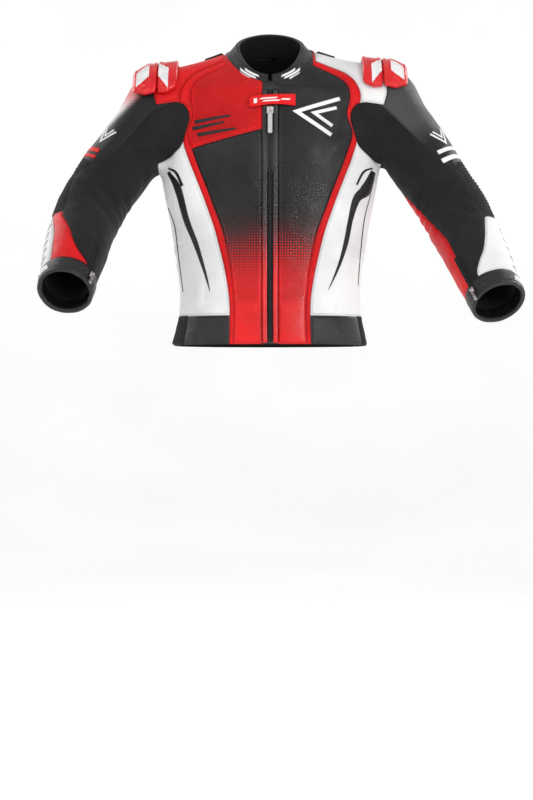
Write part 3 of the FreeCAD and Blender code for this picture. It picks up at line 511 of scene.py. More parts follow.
def cut_torso(skin, faces):
    """The torso's faces by panel name."""
    _, faces = skin.split(faces, lambda p: p[:, 2] - HEM_Z)
    _, faces = skin.split(faces, neck_rule)
    front, back = skin.split(faces, lambda p: p[:, 1] - SHOULDER_SEAM_Y)
    inside, around = skin.split(front, lambda p: np.abs(p[:, 0]) - edge_x(BAND_OUTER, p[:, 2]))
    inside, band = skin.split(inside, lambda p: np.abs(p[:, 0]) - edge_x(BAND_INNER, p[:, 2]))
    zip_base, inside = skin.split(inside, lambda p: np.abs(p[:, 0]) - PLACKET_OUT)
    around_low, yoke_front = skin.split(around, lambda p: p[:, 2] + 130)
    below, above = skin.split(back, lambda p: p[:, 2] - BACK_YOKE_Z)
    neck_back, yoke_back = skin.split(above, lambda p: np.abs(p[:, 0]) - NECK_HALF)
    waist_back, below = skin.split(below, lambda p: p[:, 2] - WAIST_SEAM_Z)
    waist_front, side_front = skin.split(around_low, lambda p: p[:, 2] - WAIST_SEAM_Z)
    centre, side_back = skin.split(below, lambda p: np.abs(p[:, 0]) - BACK_PANEL_HALF)
    _, centre = skin.split(centre, lambda p: p[:, 2] - BACK_STRETCH_TOP)
    waist_front, _ = skin.split(waist_front, lambda p: torso_degrees(p) - np.where(
        p[:, 0] < 0, WAIST_STRETCH_DEG[-1], WAIST_STRETCH_DEG[1]))
    _, waist_back = skin.split(waist_back, lambda p: torso_degrees(p) - WAIST_STRETCH_END)
    panels = {"front_zip_base": zip_base, "neck_back_panel": neck_back, "back_centre_panel": centre,
              "waistband_back": waist_back}
    pairs = {"band": band, "yoke_front": yoke_front, "yoke_back": yoke_back, "side_panel": side_front,
             "back_side_panel": side_back, "waistband": waist_front, "front_panel": inside}
    for side, word in SIDES:
        for name, part in pairs.items():
            panels[f"{name}_{word}"] = skin.half(part, side)
        yoke = [panels.pop(f"yoke_{end}_{word}") for end in ("front", "back")]
        panels[f"yoke_{word}"] = np.vstack(yoke)
    right = panels["front_panel_right"]
    panels["front_panel_right"], panels["chest_panel_right"] = skin.split(right, chest_cut_rule)
    return panels


def elbow_plane(sleeve, p):
    """Distance past the plane where the upper sleeve's cloth hands over to the elbow's."""
    return (p - sleeve.elbow) @ sleeve.bend + ELBOW_HAND_OVER


def elbow_ribs_start(turn):
    """How far down the sleeve the elbow's ribs start, at a turn round it in degrees."""
    return ELBOW_RIBS[0] - 10 + 10 * (turn / 60) ** 2


def elbow_ribs_end(turn):
    """How far down the sleeve the elbow's ribs reach, at a turn round it in degrees."""
    return ELBOW_RIBS[1] + 14 * (np.maximum(turn, 0) / 60) ** 2 - 9 * smooth_step(38, -4, turn)


def cut_sleeve(skin, faces, sleeve):
    """One sleeve's faces by panel name."""
    word, side = sleeve.word, sleeve.side
    faces = skin.score(faces, lambda p: elbow_plane(sleeve, p))

    def around(p):
        s, degrees = sleeve.coordinates(p)
        return s, signed(degrees)

    def front_edge(p):
        s, turn = around(p)
        return np.maximum(turn - smooth_table(SLEEVE_FRONT[side], s)[:, 0], SLEEVE_BACK[0] - turn)

    def back_strip(p):
        turn = around(p)[1]
        return np.maximum(turn - SLEEVE_BACK[0], SLEEVE_BACK[1] - turn)

    def ribs_top(p):
        s, turn = around(p)
        return s - elbow_ribs_start(turn)

    def ribs_end(p):
        s, turn = around(p)
        return s - elbow_ribs_end(turn)

    faces, _ = skin.split(faces, lambda p: around(p)[0] - (sleeve.total - CUFF_LENGTH))
    outer, inner = skin.split(faces, front_edge)
    upper, below = skin.split(outer, ribs_top)
    _, forearm = skin.split(below, ribs_end)
    back, stretch = skin.split(inner, back_strip)
    panels = {f"sleeve_leather_{word}": upper, f"sleeve_back_{word}": back, f"forearm_white_{word}": forearm}
    if side < 0:
        def split_line(p):
            s, turn = around(p)
            return turn - smooth_table(FOREARM_SPLIT, s)[:, 0]
        white, red = skin.split(forearm, split_line)
        panels[f"forearm_white_{word}"], panels[f"forearm_red_{word}"] = white, red
    else:
        def strip_edge(p):
            s, turn = around(p)
            degrees = turn % 360
            return np.maximum(np.maximum(smooth_table(INNER_STRIP, s)[:, 0] - degrees, degrees - 360
                                         - SLEEVE_BACK[1] - 1), 140 - s)
        strip, stretch = skin.split(stretch, strip_edge)
        panels[f"sleeve_inner_strip_{word}"] = strip
    panels[f"sleeve_stretch_{word}"] = stretch
    return panels


def cut_jacket():
    """The whole skin and its panels' faces by name."""
    points, faces = surface_mesh(jacket_distance, *SURFACE_BOX, STEP)
    skin = Skin(points, faces)
    torso, sleeves = skin.split(faces, sleeve_rule)
    panels = cut_torso(skin, torso)
    for side, sleeve in SLEEVES.items():
        panels.update(cut_sleeve(skin, skin.half(sleeves, side), sleeve))
    return skin, panels


# ------------------------------------------------------------------ cloth and leather relief
RIPPLE_WAVES = 9


def ripples(p, wavelength, seed, squeeze=(1, 1, 1)):
    """Smooth random relief from about -1 to 1; squeeze shortens the waves along an axis."""
    rng = np.random.default_rng(seed)
    directions = unit(rng.normal(size=(RIPPLE_WAVES, 3))) * np.array(squeeze)
    waves = directions * (2 * math.pi / wavelength * rng.uniform(0.7, 1.35, RIPPLE_WAVES))[:, None]
    return np.sin(p @ waves.T + rng.uniform(0, 2 * math.pi, RIPPLE_WAVES)).mean(1) * 1.7


def smooth_step(low, high, value):
    t = np.clip((value - low) / (high - low), 0, 1)
    return t * t * (3 - 2 * t)


def faded_ends(t, low, high=None):
    """1 along a run from 0 to 1 and 0 at its ends; low and high are the lengths of the ramps."""
    return smooth_step(0, low, t) * smooth_step(1, 1 - (high or low), t)


def between(low, high, out, inside, value):
    """1 between low and high; each ramp starts out outside its end and is over inside of it."""
    return smooth_step(low - out, low + inside, value) * smooth_step(high + out, high - inside, value)


# creases of the stretch sleeves: from s, degrees to s, degrees, depth and width in mm
CREASES = {
    -1: [(57, 94, 101, 128, 3.4, 9), (215, 92, 243, 140, 3.6, 8), (232, 74, 268, 118, 2.8, 9),
         (178, 112, 214, 176, 3.2, 10), (20, 132, 84, 150, 2.6, 9), (108, 122, 150, 178, 3.0, 10),
         (262, 96, 300, 158, 2.6, 10), (70, 160, 110, 215, 3.4, 12), (30, 176, 58, 240, 3.4, 12),
         (246, 205, 270, 262, 3.0, 12), (206, 198, 226, 262, 3.0, 12), (322, 104, 372, 150, 2.0, 10)],
    1: [(24, 136, 60, 157, 3.2, 9), (132, 114, 142, 128, 3.4, 8), (95, 108, 150, 150, 3.0, 10),
        (252, 112, 296, 84, 3.6, 8), (214, 96, 262, 140, 3.2, 10), (176, 118, 208, 165, 3.0, 11),
        (60, 122, 108, 166, 2.8, 11), (300, 96, 352, 138, 2.4, 11), (70, 160, 110, 215, 3.2, 12),
        (30, 176, 58, 240, 3.4, 12), (246, 205, 270, 262, 3.0, 12), (206, 198, 226, 262, 3.0, 12)],
}


def crease_relief(p, sleeve):
    """Creases with a soft shoulder on each side; they are shallower towards their ends."""
    total = np.zeros(len(p))
    for s0, deg0, s1, deg1, depth, width in CREASES[sleeve.side]:
        line = sleeve.place(np.linspace(s0, s1, 5), np.linspace(deg0, deg1, 5))
        best, along = np.full(len(p), FAR), np.zeros(len(p))
        for k in range(4):
            distance, t = segment_distance(p, line[k], line[k + 1])
            along = np.where(distance < best, (k + t) / 4, along)
            best = np.minimum(best, distance)
        q = (best / width) ** 2
        ends = np.sin(math.pi * (0.12 + 0.76 * along))
        total -= depth * ends * (1 - 0.55 * q) * np.exp(-0.8 * q)
    return total


def sleeve_relief(p, sleeve):
    """Gathers inside the elbow and armpit, creases and soft waves; calm beside the cuff's zip."""
    s, degrees = sleeve.coordinates(p)
    inner = np.exp(-((degrees - 175) / 62) ** 2)
    elbow = np.exp(-((s - 232) / 46) ** 2)
    armpit = np.exp(-((s - 52) / 40) ** 2)
    wander = 3.4 * ripples(p, 85, 11)
    gathers = np.sin(2 * math.pi * s / 27 + wander) * 1.5 * elbow * inner
    gathers += np.sin(2 * math.pi * s / 31 + wander + 1) * 1.3 * armpit * inner
    beside_zip = np.exp(-((degrees - CUFF_ZIP_DEG) / 20) ** 2)
    calm = 1 - beside_zip * smooth_step(sleeve.total - 128, sleeve.total - 100, s)
    return (1.3 * ripples(p, 78, 3) + 0.5 * ripples(p, 30, 4) + gathers + crease_relief(p, sleeve)) * calm


def torso_relief(p):
    """Gathers above the hem, drape at the sides, pulls at the armholes; calm by the zip and under the tab."""
    low = smooth_step(-400, -500, p[:, 2])
    gathers = 1.0 * ripples(p, 95, 21, squeeze=(0.5, 0.5, 1.6)) * low
    side = smooth_step(110, 165, np.abs(p[:, 0])) * smooth_step(-230, -330, p[:, 2])
    drape = 1.5 * ripples(p, 120, 25, squeeze=(0.6, 0.6, 1.5)) * side
    armhole = np.exp(-(np.hypot(np.abs(p[:, 0]) - 158, p[:, 2] + 150) / 60) ** 2)
    pull = 1.4 * np.sin((np.abs(p[:, 0]) * 0.55 - p[:, 2] * 0.8) / 7.5 + 2 * ripples(p, 80, 27)) * armhole
    total = 1.15 * ripples(p, 120, 22) + 0.45 * ripples(p, 46, 23) + gathers + drape + pull * (p[:, 1] < 0)
    front = (p[:, 1] < 0) * (1 - smooth_step(12, 32, np.abs(p[:, 0])))
    tab = (p[:, 1] < 0) * np.exp(-(p[:, 0] / 52) ** 4 - ((p[:, 2] + 85) / 26) ** 4)
    return total * (1 - np.maximum(front, tab))


def relief(p):
    """How far the soft shell stands off the smooth shape; continuous over the whole jacket."""
    total = torso_relief(p)
    for side, sleeve in SLEEVES.items():
        near = side * p[:, 0] > 120
        q = p[near]
        on_sleeve = smooth_step(150, 215, np.abs(q[:, 0]) - 0.25 * (q[:, 2] + 110))
        total[near] = total[near] * (1 - on_sleeve) + sleeve_relief(q, sleeve) * on_sleeve
    return total


# ------------------------------------------------------------------ meshes and objects
def point_attribute(mesh, name, kind, field, values):
    attribute = mesh.attributes.new(name, kind, "POINT")
    attribute.data.foreach_set(field, np.asarray(values, np.float32).ravel())


def make_object(name, points, faces, materials, rest=None, material_index=None, normals=None):
    """A mesh object in metres from points in mm; rest keeps each point's place for its material."""
    mesh = bpy.data.meshes.new(name)
    mesh.from_pydata((np.asarray(points) * MM).tolist(), [], [list(map(int, f)) for f in faces])
    for material in materials:
        mesh.materials.append(material)
    if material_index is not None:
        mesh.polygons.foreach_set("material_index", np.asarray(material_index, np.int32))
    mesh.shade_smooth()
    point_attribute(mesh, "rest", "FLOAT_VECTOR", "vector", np.asarray(points if rest is None else rest) * MM)
    mesh.validate()
    if normals is not None:
        mesh.normals_split_custom_set_from_vertices(np.asarray(normals).tolist())
    obj = bpy.data.objects.new(name, mesh)
    bpy.context.scene.collection.objects.link(obj)
    return obj


def vertex_normals(points, faces):
    cross = np.cross(points[faces[:, 1]] - points[faces[:, 0]], points[faces[:, 2]] - points[faces[:, 0]])
    normals = np.zeros_like(points)
    for k in range(3):
        np.add.at(normals, faces[:, k], cross)
    return unit(normals)


def border_edges(faces):
    """Edges used by one face only, in that face's direction."""
    loops = face_edges(faces)
    _, first, count = np.unique(np.sort(loops, axis=1), axis=0, return_index=True, return_counts=True)
    return loops[first[count == 1]]


SEAM_REACH = 26.0


def seam_distance(points, faces, edges):
    """Distance of every used point to the nearest of the edges, up to SEAM_REACH."""
    tree = kdtree.KDTree(len(edges))
    a, b = points[edges[:, 0]], points[edges[:, 1]]
    for k, middle in enumerate((a + b) / 2):
        tree.insert(middle, k)
    tree.balance()
    out = np.full(len(points), SEAM_REACH)
    for i in np.unique(faces):
        p = points[i]
        found = [k for _, k, distance in tree.find_n(p, 4) if distance < SEAM_REACH]
        if found:
            ab = b[found] - a[found]
            t = np.clip(((p - a[found]) * ab).sum(1) / np.maximum((ab * ab).sum(1), 1e-9), 0, 1)
            out[i] = min(SEAM_REACH, np.linalg.norm(p - a[found] - t[:, None] * ab, axis=1).min())
    return out


def chains(edges):
    """Unordered edges joined end to end into lists of point numbers."""
    following = {}
    for a, b in edges:
        following.setdefault(int(a), []).append(int(b))
        following.setdefault(int(b), []).append(int(a))
    lines = []
    while following:
        ends = [k for k, v in following.items() if len(v) == 1]
        at = ends[0] if ends else next(iter(following))
        line = [at]
        while following.get(at):
            to = following[at].pop()
            following[to].remove(at)
            if not following[at]:
                del following[at]
            line.append(to)
            at = to
        if at in following and not following[at]:
            del following[at]
        following = {k: v for k, v in following.items() if v}
        lines.append(line)
    return lines


STITCH_PITCH, STITCH_LENGTH, STITCH_WIDTH, STITCH_RISE = 3.9, 2.9, 0.85, 0.45
SHORTEST_SEAM = 12.0       # shorter lines carry no stitches
LOZENGE = np.array([(0, 1, 2), (0, 2, 3), (4, 2, 1), (4, 3, 2), (0, 5, 1), (0, 3, 5), (4, 1, 5), (4, 5, 3)])


def stitches(lines, points, normals):
    """Small thread lozenges along lines of point numbers: six points for each, and their normals."""
    out_points, out_normals = [np.zeros((0, 3))], [np.zeros((0, 3))]
    for line in lines:
        p, n = points[line], normals[line]
        length = arc_lengths(p)
        if length[-1] < SHORTEST_SEAM:
            continue
        starts = np.arange(1.0, length[-1] - STITCH_LENGTH, STITCH_PITCH)

        def at(t, of):
            return np.column_stack([np.interp(t, length, of[:, k]) for k in range(3)])
        a, b, up = at(starts, p), at(starts + STITCH_LENGTH, p), unit(at(starts + STITCH_LENGTH / 2, n))
        side = unit(np.cross(up, b - a)) * STITCH_WIDTH / 2
        middle = (a + b) / 2
        ring = np.stack([a + up * 0.05, middle + side + up * 0.1, middle + up * STITCH_RISE,
                         middle - side + up * 0.1, b + up * 0.05, middle - up * 0.3], axis=1)
        out_points.append(ring.reshape(-1, 3))
        out_normals.append(unit(np.repeat(up, 6, axis=0) + 0.6 * unit(ring - middle[:, None]).reshape(-1, 3)))
    return np.vstack(out_points), np.vstack(out_normals)


EDGE_DROP = 1.5            # a panel's edge turns down this far into the seam
EDGE_TURN, CROWN_RUN = 3.2, 9.0      # distances from the seam over which a panel turns down and rises
EDGE_RING, STITCH_RING = 1.3, 3.4    # lines of points this far from the seam; the second carries the stitches


def panel(skin, name, faces, materials, puff, sewn=True):
    """One panel of the cut surface, softly raised with its edges turned down: the arrays for finish_panel."""
    skin.depth = seam_distance(skin.points, faces, border_edges(faces))
    faces = skin.score(faces, skin.depth - EDGE_RING)
    low, high = skin.split(faces, skin.depth - STITCH_RING)
    ring_edges = border_edges(high)
    used, local = np.unique(np.vstack([low, high]), return_inverse=True)
    faces = local.reshape(-1, 3)
    number = np.full(len(skin.points), -1)
    number[used] = np.arange(len(used))
    depth = skin.depth[used]
    rest = onto_surface(jacket_distance, skin.points[used], 1)
    out = unit(gradient(jacket_distance, rest))
    height = relief(rest) + puff * (1 - np.exp(-np.maximum(depth - 1, 0) / CROWN_RUN))
    height -= EDGE_DROP * (1 - smooth_step(0.0, EDGE_TURN, depth))
    points = rest + out * height[:, None]
    lines = chains(number[ring_edges]) if sewn and len(ring_edges) else []
    return {"name": name, "points": points, "rest": rest, "out": out, "faces": faces, "depth": depth,
            "normals": vertex_normals(points, faces), "lines": lines, "materials": materials}


# ------------------------------------------------------------------ pieces and how they follow the bodies
SHOULDER_START = (222.0, 5.0, -115.0)     # the start of the shoulder's run, on side 1
SHOULDER_RUN = (69.4, 0.0, -14.8)
ELBOW_RUN = (-36.0, 46.0)                 # along the bend, from the elbow


def follow(obj, zone, side=0):
    """Attach a finished piece rigidly to the body or a forearm; at a shoulder or elbow only bake its
    transform.
    """
    if zone == "body":
        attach(obj, "jacket_body")
        return
    sleeve = SLEEVES[side]
    upper, lower = f"sleeve_{sleeve.word}", f"forearm_{sleeve.word}"
    if zone == "forearm":
        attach(obj, lower)
    elif zone == "shoulder":
        start = np.array(SHOULDER_START) * (side, 1, 1)
        end = start + np.array(SHOULDER_RUN) * (side, 1, 1)
        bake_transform(obj)
    else:
        start, end = (sleeve.elbow + sleeve.bend * run for run in ELBOW_RUN)
        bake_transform(obj)


def closed_shell(points, out, faces, thickness):
    """Triangles of both sides of a skin and of its border, with the inner points after the outer."""
    n = len(points)
    a, b = border_edges(faces).T
    walls = np.vstack([np.column_stack([b, a, a + n]), np.column_stack([b, a + n, b + n])])
    return np.vstack([points, points - out * thickness]), np.vstack([faces, faces[:, ::-1] + n, walls])


CLEAR_OF_SEAM = 9.0        # the distance to the seam that threads and inner faces are given


def panel_object(data, name, keep, slot_name, nodes, thread_keep):
    """One object from the part of a panel whose faces and stitches are kept."""
    used, local = np.unique(data["faces"][keep], return_inverse=True)
    points, out, normals = data["points"][used], data["out"][used], data["normals"][used]
    solid, triangles = closed_shell(points, out, local.reshape(-1, 3), LEATHER)
    rest = np.vstack([data["rest"][used], data["rest"][used] - out * LEATHER])
    normals = np.vstack([normals, -normals])
    thread, thread_normals = (a.reshape(-1, 6, 3) for a in data["threads"])
    own = thread_keep(thread.reshape(-1, 3)).reshape(-1, 6).all(1)
    thread, thread_normals = thread[own].reshape(-1, 3), thread_normals[own].reshape(-1, 3)
    starts = len(solid) + 6 * np.arange(own.sum())
    thread_faces = (starts[:, None, None] + LOZENGE).reshape(-1, 3)
    depth = np.concatenate([data["depth"][used], np.full(len(used) + len(thread), CLEAR_OF_SEAM)])
    index = np.repeat([0, 1], [len(triangles), len(thread_faces)])
    rest = np.vstack([rest, thread])
    obj = make_object(name, np.vstack([solid, thread]), np.vstack([triangles, thread_faces]),
                      data["materials"], rest, index, np.vstack([normals, thread_normals]))
    point_attribute(obj.data, "seam", "FLOAT", "value", depth)
    if "tint" in data:
        point_attribute(obj.data, "along", "FLOAT", "value", data["along"](rest))
        tint = np.column_stack([data["tint"](rest), np.ones(len(rest))])
        point_attribute(obj.data, "tint", "FLOAT_COLOR", "color", tint)
    if nodes:
        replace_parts(obj, *nodes)
    return obj


def finish_panel(data, zone, slot_name, nodes=(), side=0, lower_nodes=()):
    """Make a panel's object, or two where the panel crosses from the sleeve's bend to the elbow's."""
    data["threads"] = stitches(data["lines"], data["points"] + data["out"] * 0.1, data["normals"])
    if zone != "arm":
        obj = panel_object(data, data["name"], slice(None), slot_name, nodes, lambda p: np.ones(len(p), bool))
        follow(obj, zone, side)
        return
    sleeve = SLEEVES[side]
    past = elbow_plane(sleeve, data["rest"][data["faces"]].mean(1)) > 0
    both = past.any() and not past.all()
    for part, keep, sign, part_nodes, part_zone in (("upper", ~past, -1, nodes, "shoulder"),
                                                    ("lower", past, 1, lower_nodes, "elbow")):
        if keep.any():
            name = f"{data['name']}_{part}" if both else data["name"]
            obj = panel_object(data, name, keep, slot_name, part_nodes,
                               lambda p, sign=sign: sign * elbow_plane(sleeve, p) > 0)
            follow(obj, part_zone, side)


def grid_faces(columns, rows, round_u=False, round_v=False):
    """Quads of a grid of points; a direction that is round is joined end to end."""
    i, j = np.meshgrid(np.arange(columns - (not round_u)), np.arange(rows - (not round_v)), indexing="ij")
    i, j, next_i, next_j = i.ravel(), j.ravel(), (i.ravel() + 1) % columns, (j.ravel() + 1) % rows
    return np.column_stack([i * rows + j, next_i * rows + j, next_i * rows + next_j, i * rows + next_j])


def grid_uv(columns, rows, round_u=False, round_v=False):
    """u and v of a grid's points, from 0 to 1."""
    u = np.arange(columns) / (columns if round_u else columns - 1)
    v = np.arange(rows) / (rows if round_v else rows - 1)
    return (g.ravel() for g in np.meshgrid(u, v, indexing="ij"))


def grid_normals(points, columns, rows):
    """Normals of a grid of points, turned out of the jacket, and whether they had to be turned."""
    grid = points.reshape(columns, rows, 3)
    normals = unit(np.cross(np.gradient(grid, axis=0), np.gradient(grid, axis=1))).reshape(-1, 3)
    outwards = (normals * gradient(jacket_distance, points)).sum() > 0
    return (normals, False) if outwards else (-normals, True)


def grid_shell(name, top, bottom, columns, rows, materials, index=None):
    """A closed piece between two grids of points; index gives the material of each face of the top."""
    faces = grid_faces(columns, rows)
    if grid_normals(top, columns, rows)[1]:
        faces = faces[:, ::-1]
    a, b = border_edges(faces).T
    n = len(top)
    walls = np.column_stack([b, a, a + n, b + n])
    own = np.zeros(len(faces), int) if index is None else index
    face_index = np.concatenate([own, np.zeros(len(faces) + len(walls), int)])
    obj = make_object(name, np.vstack([top, bottom]), np.vstack([faces, faces[:, ::-1] + n, walls]),
                      materials, None, face_index)
    smooth = np.arange(len(faces) * 2 + len(walls)) < 2 * len(faces)
    obj.data.polygons.foreach_set("use_smooth", smooth)
    return obj


def slab(name, surface, columns, rows, thickness, materials):
    """A closed piece of even thickness under surface(u, v)."""
    top = surface(*grid_uv(columns, rows))
    normals, _ = grid_normals(top, columns, rows)
    return grid_shell(name, top, top - normals * thickness, columns, rows, materials)


def wrap(name, surface, columns, rows, materials, round_u=True, index=None):
    """A closed piece whose sections surface(u, 0..1) are rings; u runs round too, or its ends are capped."""
    u, v = grid_uv(columns, rows, round_u, True)
    points = surface(u, v)
    quads = grid_faces(columns, rows, round_u, True)
    a, b, c, d = (points[quads[:, k]] for k in range(4))
    volume = (np.cross(b, c) * a).sum() + (np.cross(c, d) * a).sum()
    faces = [tuple(f) for f in quads]
    if not round_u:
        faces += [tuple(range(rows))[::-1], tuple(range((columns - 1) * rows, columns * rows))]
    if volume < 0:
        faces = [f[::-1] for f in faces]
    own = np.zeros(len(faces), int)
    if index is not None:
        own[:len(quads)] = index(v[quads[:, 0]])
    return make_object(name, points, faces, materials, None, own)


# ------------------------------------------------------------------ materials
class Shade:
    """A small builder for one node material around a Principled shader."""

    def __init__(self, name, **constants):
        self.material = bpy.data.materials.new(name)
        self.material.use_nodes = True
        self.tree = self.material.node_tree
        self.tree.nodes.clear()
        self.shader = self.tree.nodes.new("ShaderNodeBsdfPrincipled")
        output = self.tree.nodes.new("ShaderNodeOutputMaterial")
        self.tree.links.new(self.shader.outputs[0], output.inputs[0])
        for key, value in constants.items():
            self.shader.inputs[key.replace("_", " ")].default_value = value
        self.rest = self.attribute("rest", "Vector")

    def link(self, socket, value):
        if isinstance(value, bpy.types.NodeSocket):
            self.tree.links.new(value, socket)
        elif value is not None:
            socket.default_value = value

    def attribute(self, name, out="Fac"):
        made = self.tree.nodes.new("ShaderNodeAttribute")
        made.attribute_name = name
        return made.outputs[out]

    def math(self, operation, *values):
        made = self.tree.nodes.new("ShaderNodeMath")
        made.operation = operation
        for socket, value in zip(made.inputs, values):
            self.link(socket, value)
        return made.outputs[0]

    def plus(self, a, b):
        return self.math("ADD", a, b)

    def times(self, a, b):
        return self.math("MULTIPLY", a, b)

    def wave(self, value, length=None):
        """A sine of value, once for each length, or once for each whole number."""
        return self.math("SINE", self.times(value, 2 * math.pi / (length or 1)))

    def step(self, value, low, high, to=(0.0, 1.0)):
        """A smooth ramp from to[0] to to[1] as value goes from low to high."""
        made = self.tree.nodes.new("ShaderNodeMapRange")
        made.interpolation_type = "SMOOTHSTEP"
        for socket, v in zip(made.inputs, (value, low, high, *to)):
            self.link(socket, v)
        return made.outputs[0]

    def mix(self, share, a, b):
        made = self.tree.nodes.new("ShaderNodeMix")
        made.data_type = "RGBA"
        self.link(made.inputs[0], share)
        for socket, colour in ((made.inputs[6], a), (made.inputs[7], b)):
            self.link(socket, (*colour, 1) if isinstance(colour, tuple) else colour)
        return made.outputs[2]

    def noise(self, scale, detail=3.0):
        made = self.tree.nodes.new("ShaderNodeTexNoise")
        self.link(made.inputs["Vector"], self.rest)
        made.inputs["Scale"].default_value = scale
        made.inputs["Detail"].default_value = detail
        return made.outputs[0]

    def cells(self, scale):
        """Distance to the nearest border between cells."""
        made = self.tree.nodes.new("ShaderNodeTexVoronoi")
        made.feature = "DISTANCE_TO_EDGE"
        self.link(made.inputs["Vector"], self.rest)
        made.inputs["Scale"].default_value = scale
        return made.outputs["Distance"]

    def xyz(self):
        made = self.tree.nodes.new("ShaderNodeSeparateXYZ")
        self.link(made.inputs[0], self.rest)
        return made.outputs

    def bump(self, height, distance, strength=1.0, under=None):
        made = self.tree.nodes.new("ShaderNodeBump")
        made.inputs["Strength"].default_value = strength
        made.inputs["Distance"].default_value = distance
        self.link(made.inputs["Height"], height)
        self.link(made.inputs["Normal"], under)
        return made.outputs[0]

    def lattice(self, across, up, pitch, shift=0.0):
        """Distance across and up from the middle of a lattice's nearest square, in shares of its pitch."""
        out = []
        for value in (across, up):
            turns = self.plus(self.math("DIVIDE", value, pitch), shift)
            out.append(self.math("ABSOLUTE", self.math("SUBTRACT", self.math("FRACT", turns), 0.5)))
        return out

    def round_dots(self, across, up, pitch, shift):
        """Distance from the middle of the nearest square of a lattice, in shares of its pitch."""
        a, b = self.lattice(across, up, pitch, shift)
        return self.math("SQRT", self.plus(self.math("POWER", a, 2.0), self.math("POWER", b, 2.0)))

    def seam_dirt_and_shade(self, colour, dark, reach, share):
        """The colour, darkened close to a seam: dirt and painted shade in the seam's groove."""
        return self.mix(self.step(self.attribute("seam"), 0.2, reach, (share, 0.0)), colour, dark)

    def finish(self, colour, roughness, normal):
        self.link(self.shader.inputs["Base Color"], colour)
        self.link(self.shader.inputs["Roughness"], roughness)
        self.link(self.shader.inputs["Normal"], normal)
        return self.material


RED, DEEP_RED = (0.70, 0.008, 0.010), (0.56, 0.005, 0.007)
WHITE, GREY_WHITE = (0.80, 0.80, 0.80), (0.68, 0.68, 0.69)
BLACK, SOFT_BLACK = (0.009, 0.009, 0.0095), (0.016, 0.016, 0.017)
PERFORATION_PITCH = 0.0052
HOLE_RADIUS = (0.17, 0.25)         # of the holes' full depth and of their rims, in shares of the pitch
HALFTONE_PITCH = 0.0050
HALFTONE_Z = (-0.235, -0.480)      # the black fades to red between these heights


def scaled(colour, share):
    return tuple(share * c for c in colour)


def halftone(m, tone, base):
    """The base with red squares that grow towards the hem until they cover it."""
    x, _, z = m.xyz()
    share = m.step(z, HALFTONE_Z[1], HALFTONE_Z[0], (1.0, 0.0))
    half = m.times(share, 0.56)
    square = m.step(m.math("MAXIMUM", *m.lattice(x, z, HALFTONE_PITCH)), half, m.plus(half, 0.05), (1.0, 0.0))
    spread = m.math("POWER", share, 2.6)
    amount = m.math("MAXIMUM", m.times(square, m.step(share, 0.0, 0.55)), spread)
    return m.mix(amount, base, m.mix(tone, RED, DEEP_RED))


def punched(m, low, reach):
    """1 inside the punched holes, which start at the height low and keep clear of the seams."""
    x, _, z = m.xyz()
    nearest = m.math("MINIMUM", *(m.round_dots(x, z, PERFORATION_PITCH, shift) for shift in (0.0, 0.5)))
    clear = m.step(m.attribute("seam"), 6.0, 7.5)
    return m.times(m.times(m.step(nearest, *HOLE_RADIUS, (1.0, 0.0)), clear), m.step(z, low, low + reach))


def leather(name, colour, shade, rough=0.36, seams=True, perforated=None, fade=False, tinted=False, grain=1.0,
            gloss=0.16, hole=(0.006, 0.003, 0.003)):
    """Sewn leather: grain, soft tone changes, dirt and painted shade at the seams; if asked, perforated, faded
    or tinted by point.
    """
    m = Shade(name, Specular_IOR_Level=gloss)
    tone = m.step(m.noise(9.0, 4.0), 0.38, 0.66)
    base = m.attribute("tint", "Color") if tinted else m.mix(tone, colour, shade)
    if fade:
        base = halftone(m, tone, base)
    if tinted:
        base = m.mix(m.step(m.wave(m.attribute("along")), 0.2, 0.9, (0.0, 0.45)), base, BLACK)
    normal = m.bump(m.step(m.cells(1150.0), 0.0, 0.25), 0.00022 * grain, 0.55)
    normal = m.bump(m.noise(620.0, 2.0), 0.00018 * grain, 0.4, normal)
    normal = m.bump(m.noise(55.0), 0.0011 * min(grain, 1.0), 0.28, normal)
    roughness = m.step(m.noise(26.0), 0.3, 0.7, (rough - 0.06, rough + 0.08))
    if perforated:
        holes = punched(m, *perforated)
        base = m.mix(holes, base, m.mix(0.7, base, hole))
        normal = m.bump(m.math("SUBTRACT", 1.0, holes), 0.0009, 1.0, normal)
        roughness = m.plus(roughness, m.times(holes, 0.25))
    if seams:
        seam = m.attribute("seam")
        # dirt and painted shade darken the leather in the seam's groove
        base = m.seam_dirt_and_shade(base, m.mix(0.75, base, (0.004, 0.004, 0.004)), 2.2, 0.55)
        worn = m.times(m.step(seam, 1.2, 2.2), m.step(seam, 4.2, 2.6))
        roughness = m.math("SUBTRACT", roughness, m.times(worn, 0.05))
    return m.finish(base, roughness, normal)


def stretch_cloth(name, colour=(0.010, 0.010, 0.0105), seams=True):
    """Aramid stretch: a fine twill with a dry sheen."""
    m = Shade(name, Sheen_Weight=0.08, Sheen_Roughness=0.5, Specular_IOR_Level=0.12)
    x, y, z = m.xyz()
    slant = m.plus(z, m.times(x, 0.6))
    across = m.math("SUBTRACT", y, m.times(x, 0.8))
    weave = m.times(m.plus(m.wave(m.plus(slant, across), 0.0016), m.wave(slant, 0.0021)), 0.25)
    base = m.mix(m.step(m.noise(14.0, 4.0), 0.35, 0.7), colour, scaled(colour, 1.35))
    base = m.mix(m.step(weave, 0.05, 0.45, (0.0, 0.4)), base, scaled(colour, 2.1))
    if seams:
        # dirt and painted shade darken the cloth at the seams
        base = m.seam_dirt_and_shade(base, (0.002, 0.002, 0.002), 2.5, 0.6)
    normal = m.bump(weave, 0.00035, 0.6)
    normal = m.bump(m.noise(120.0, 4.0), 0.0006, 0.35, normal)
    return m.finish(base, m.step(m.noise(40.0), 0.3, 0.7, (0.68, 0.86)), normal)


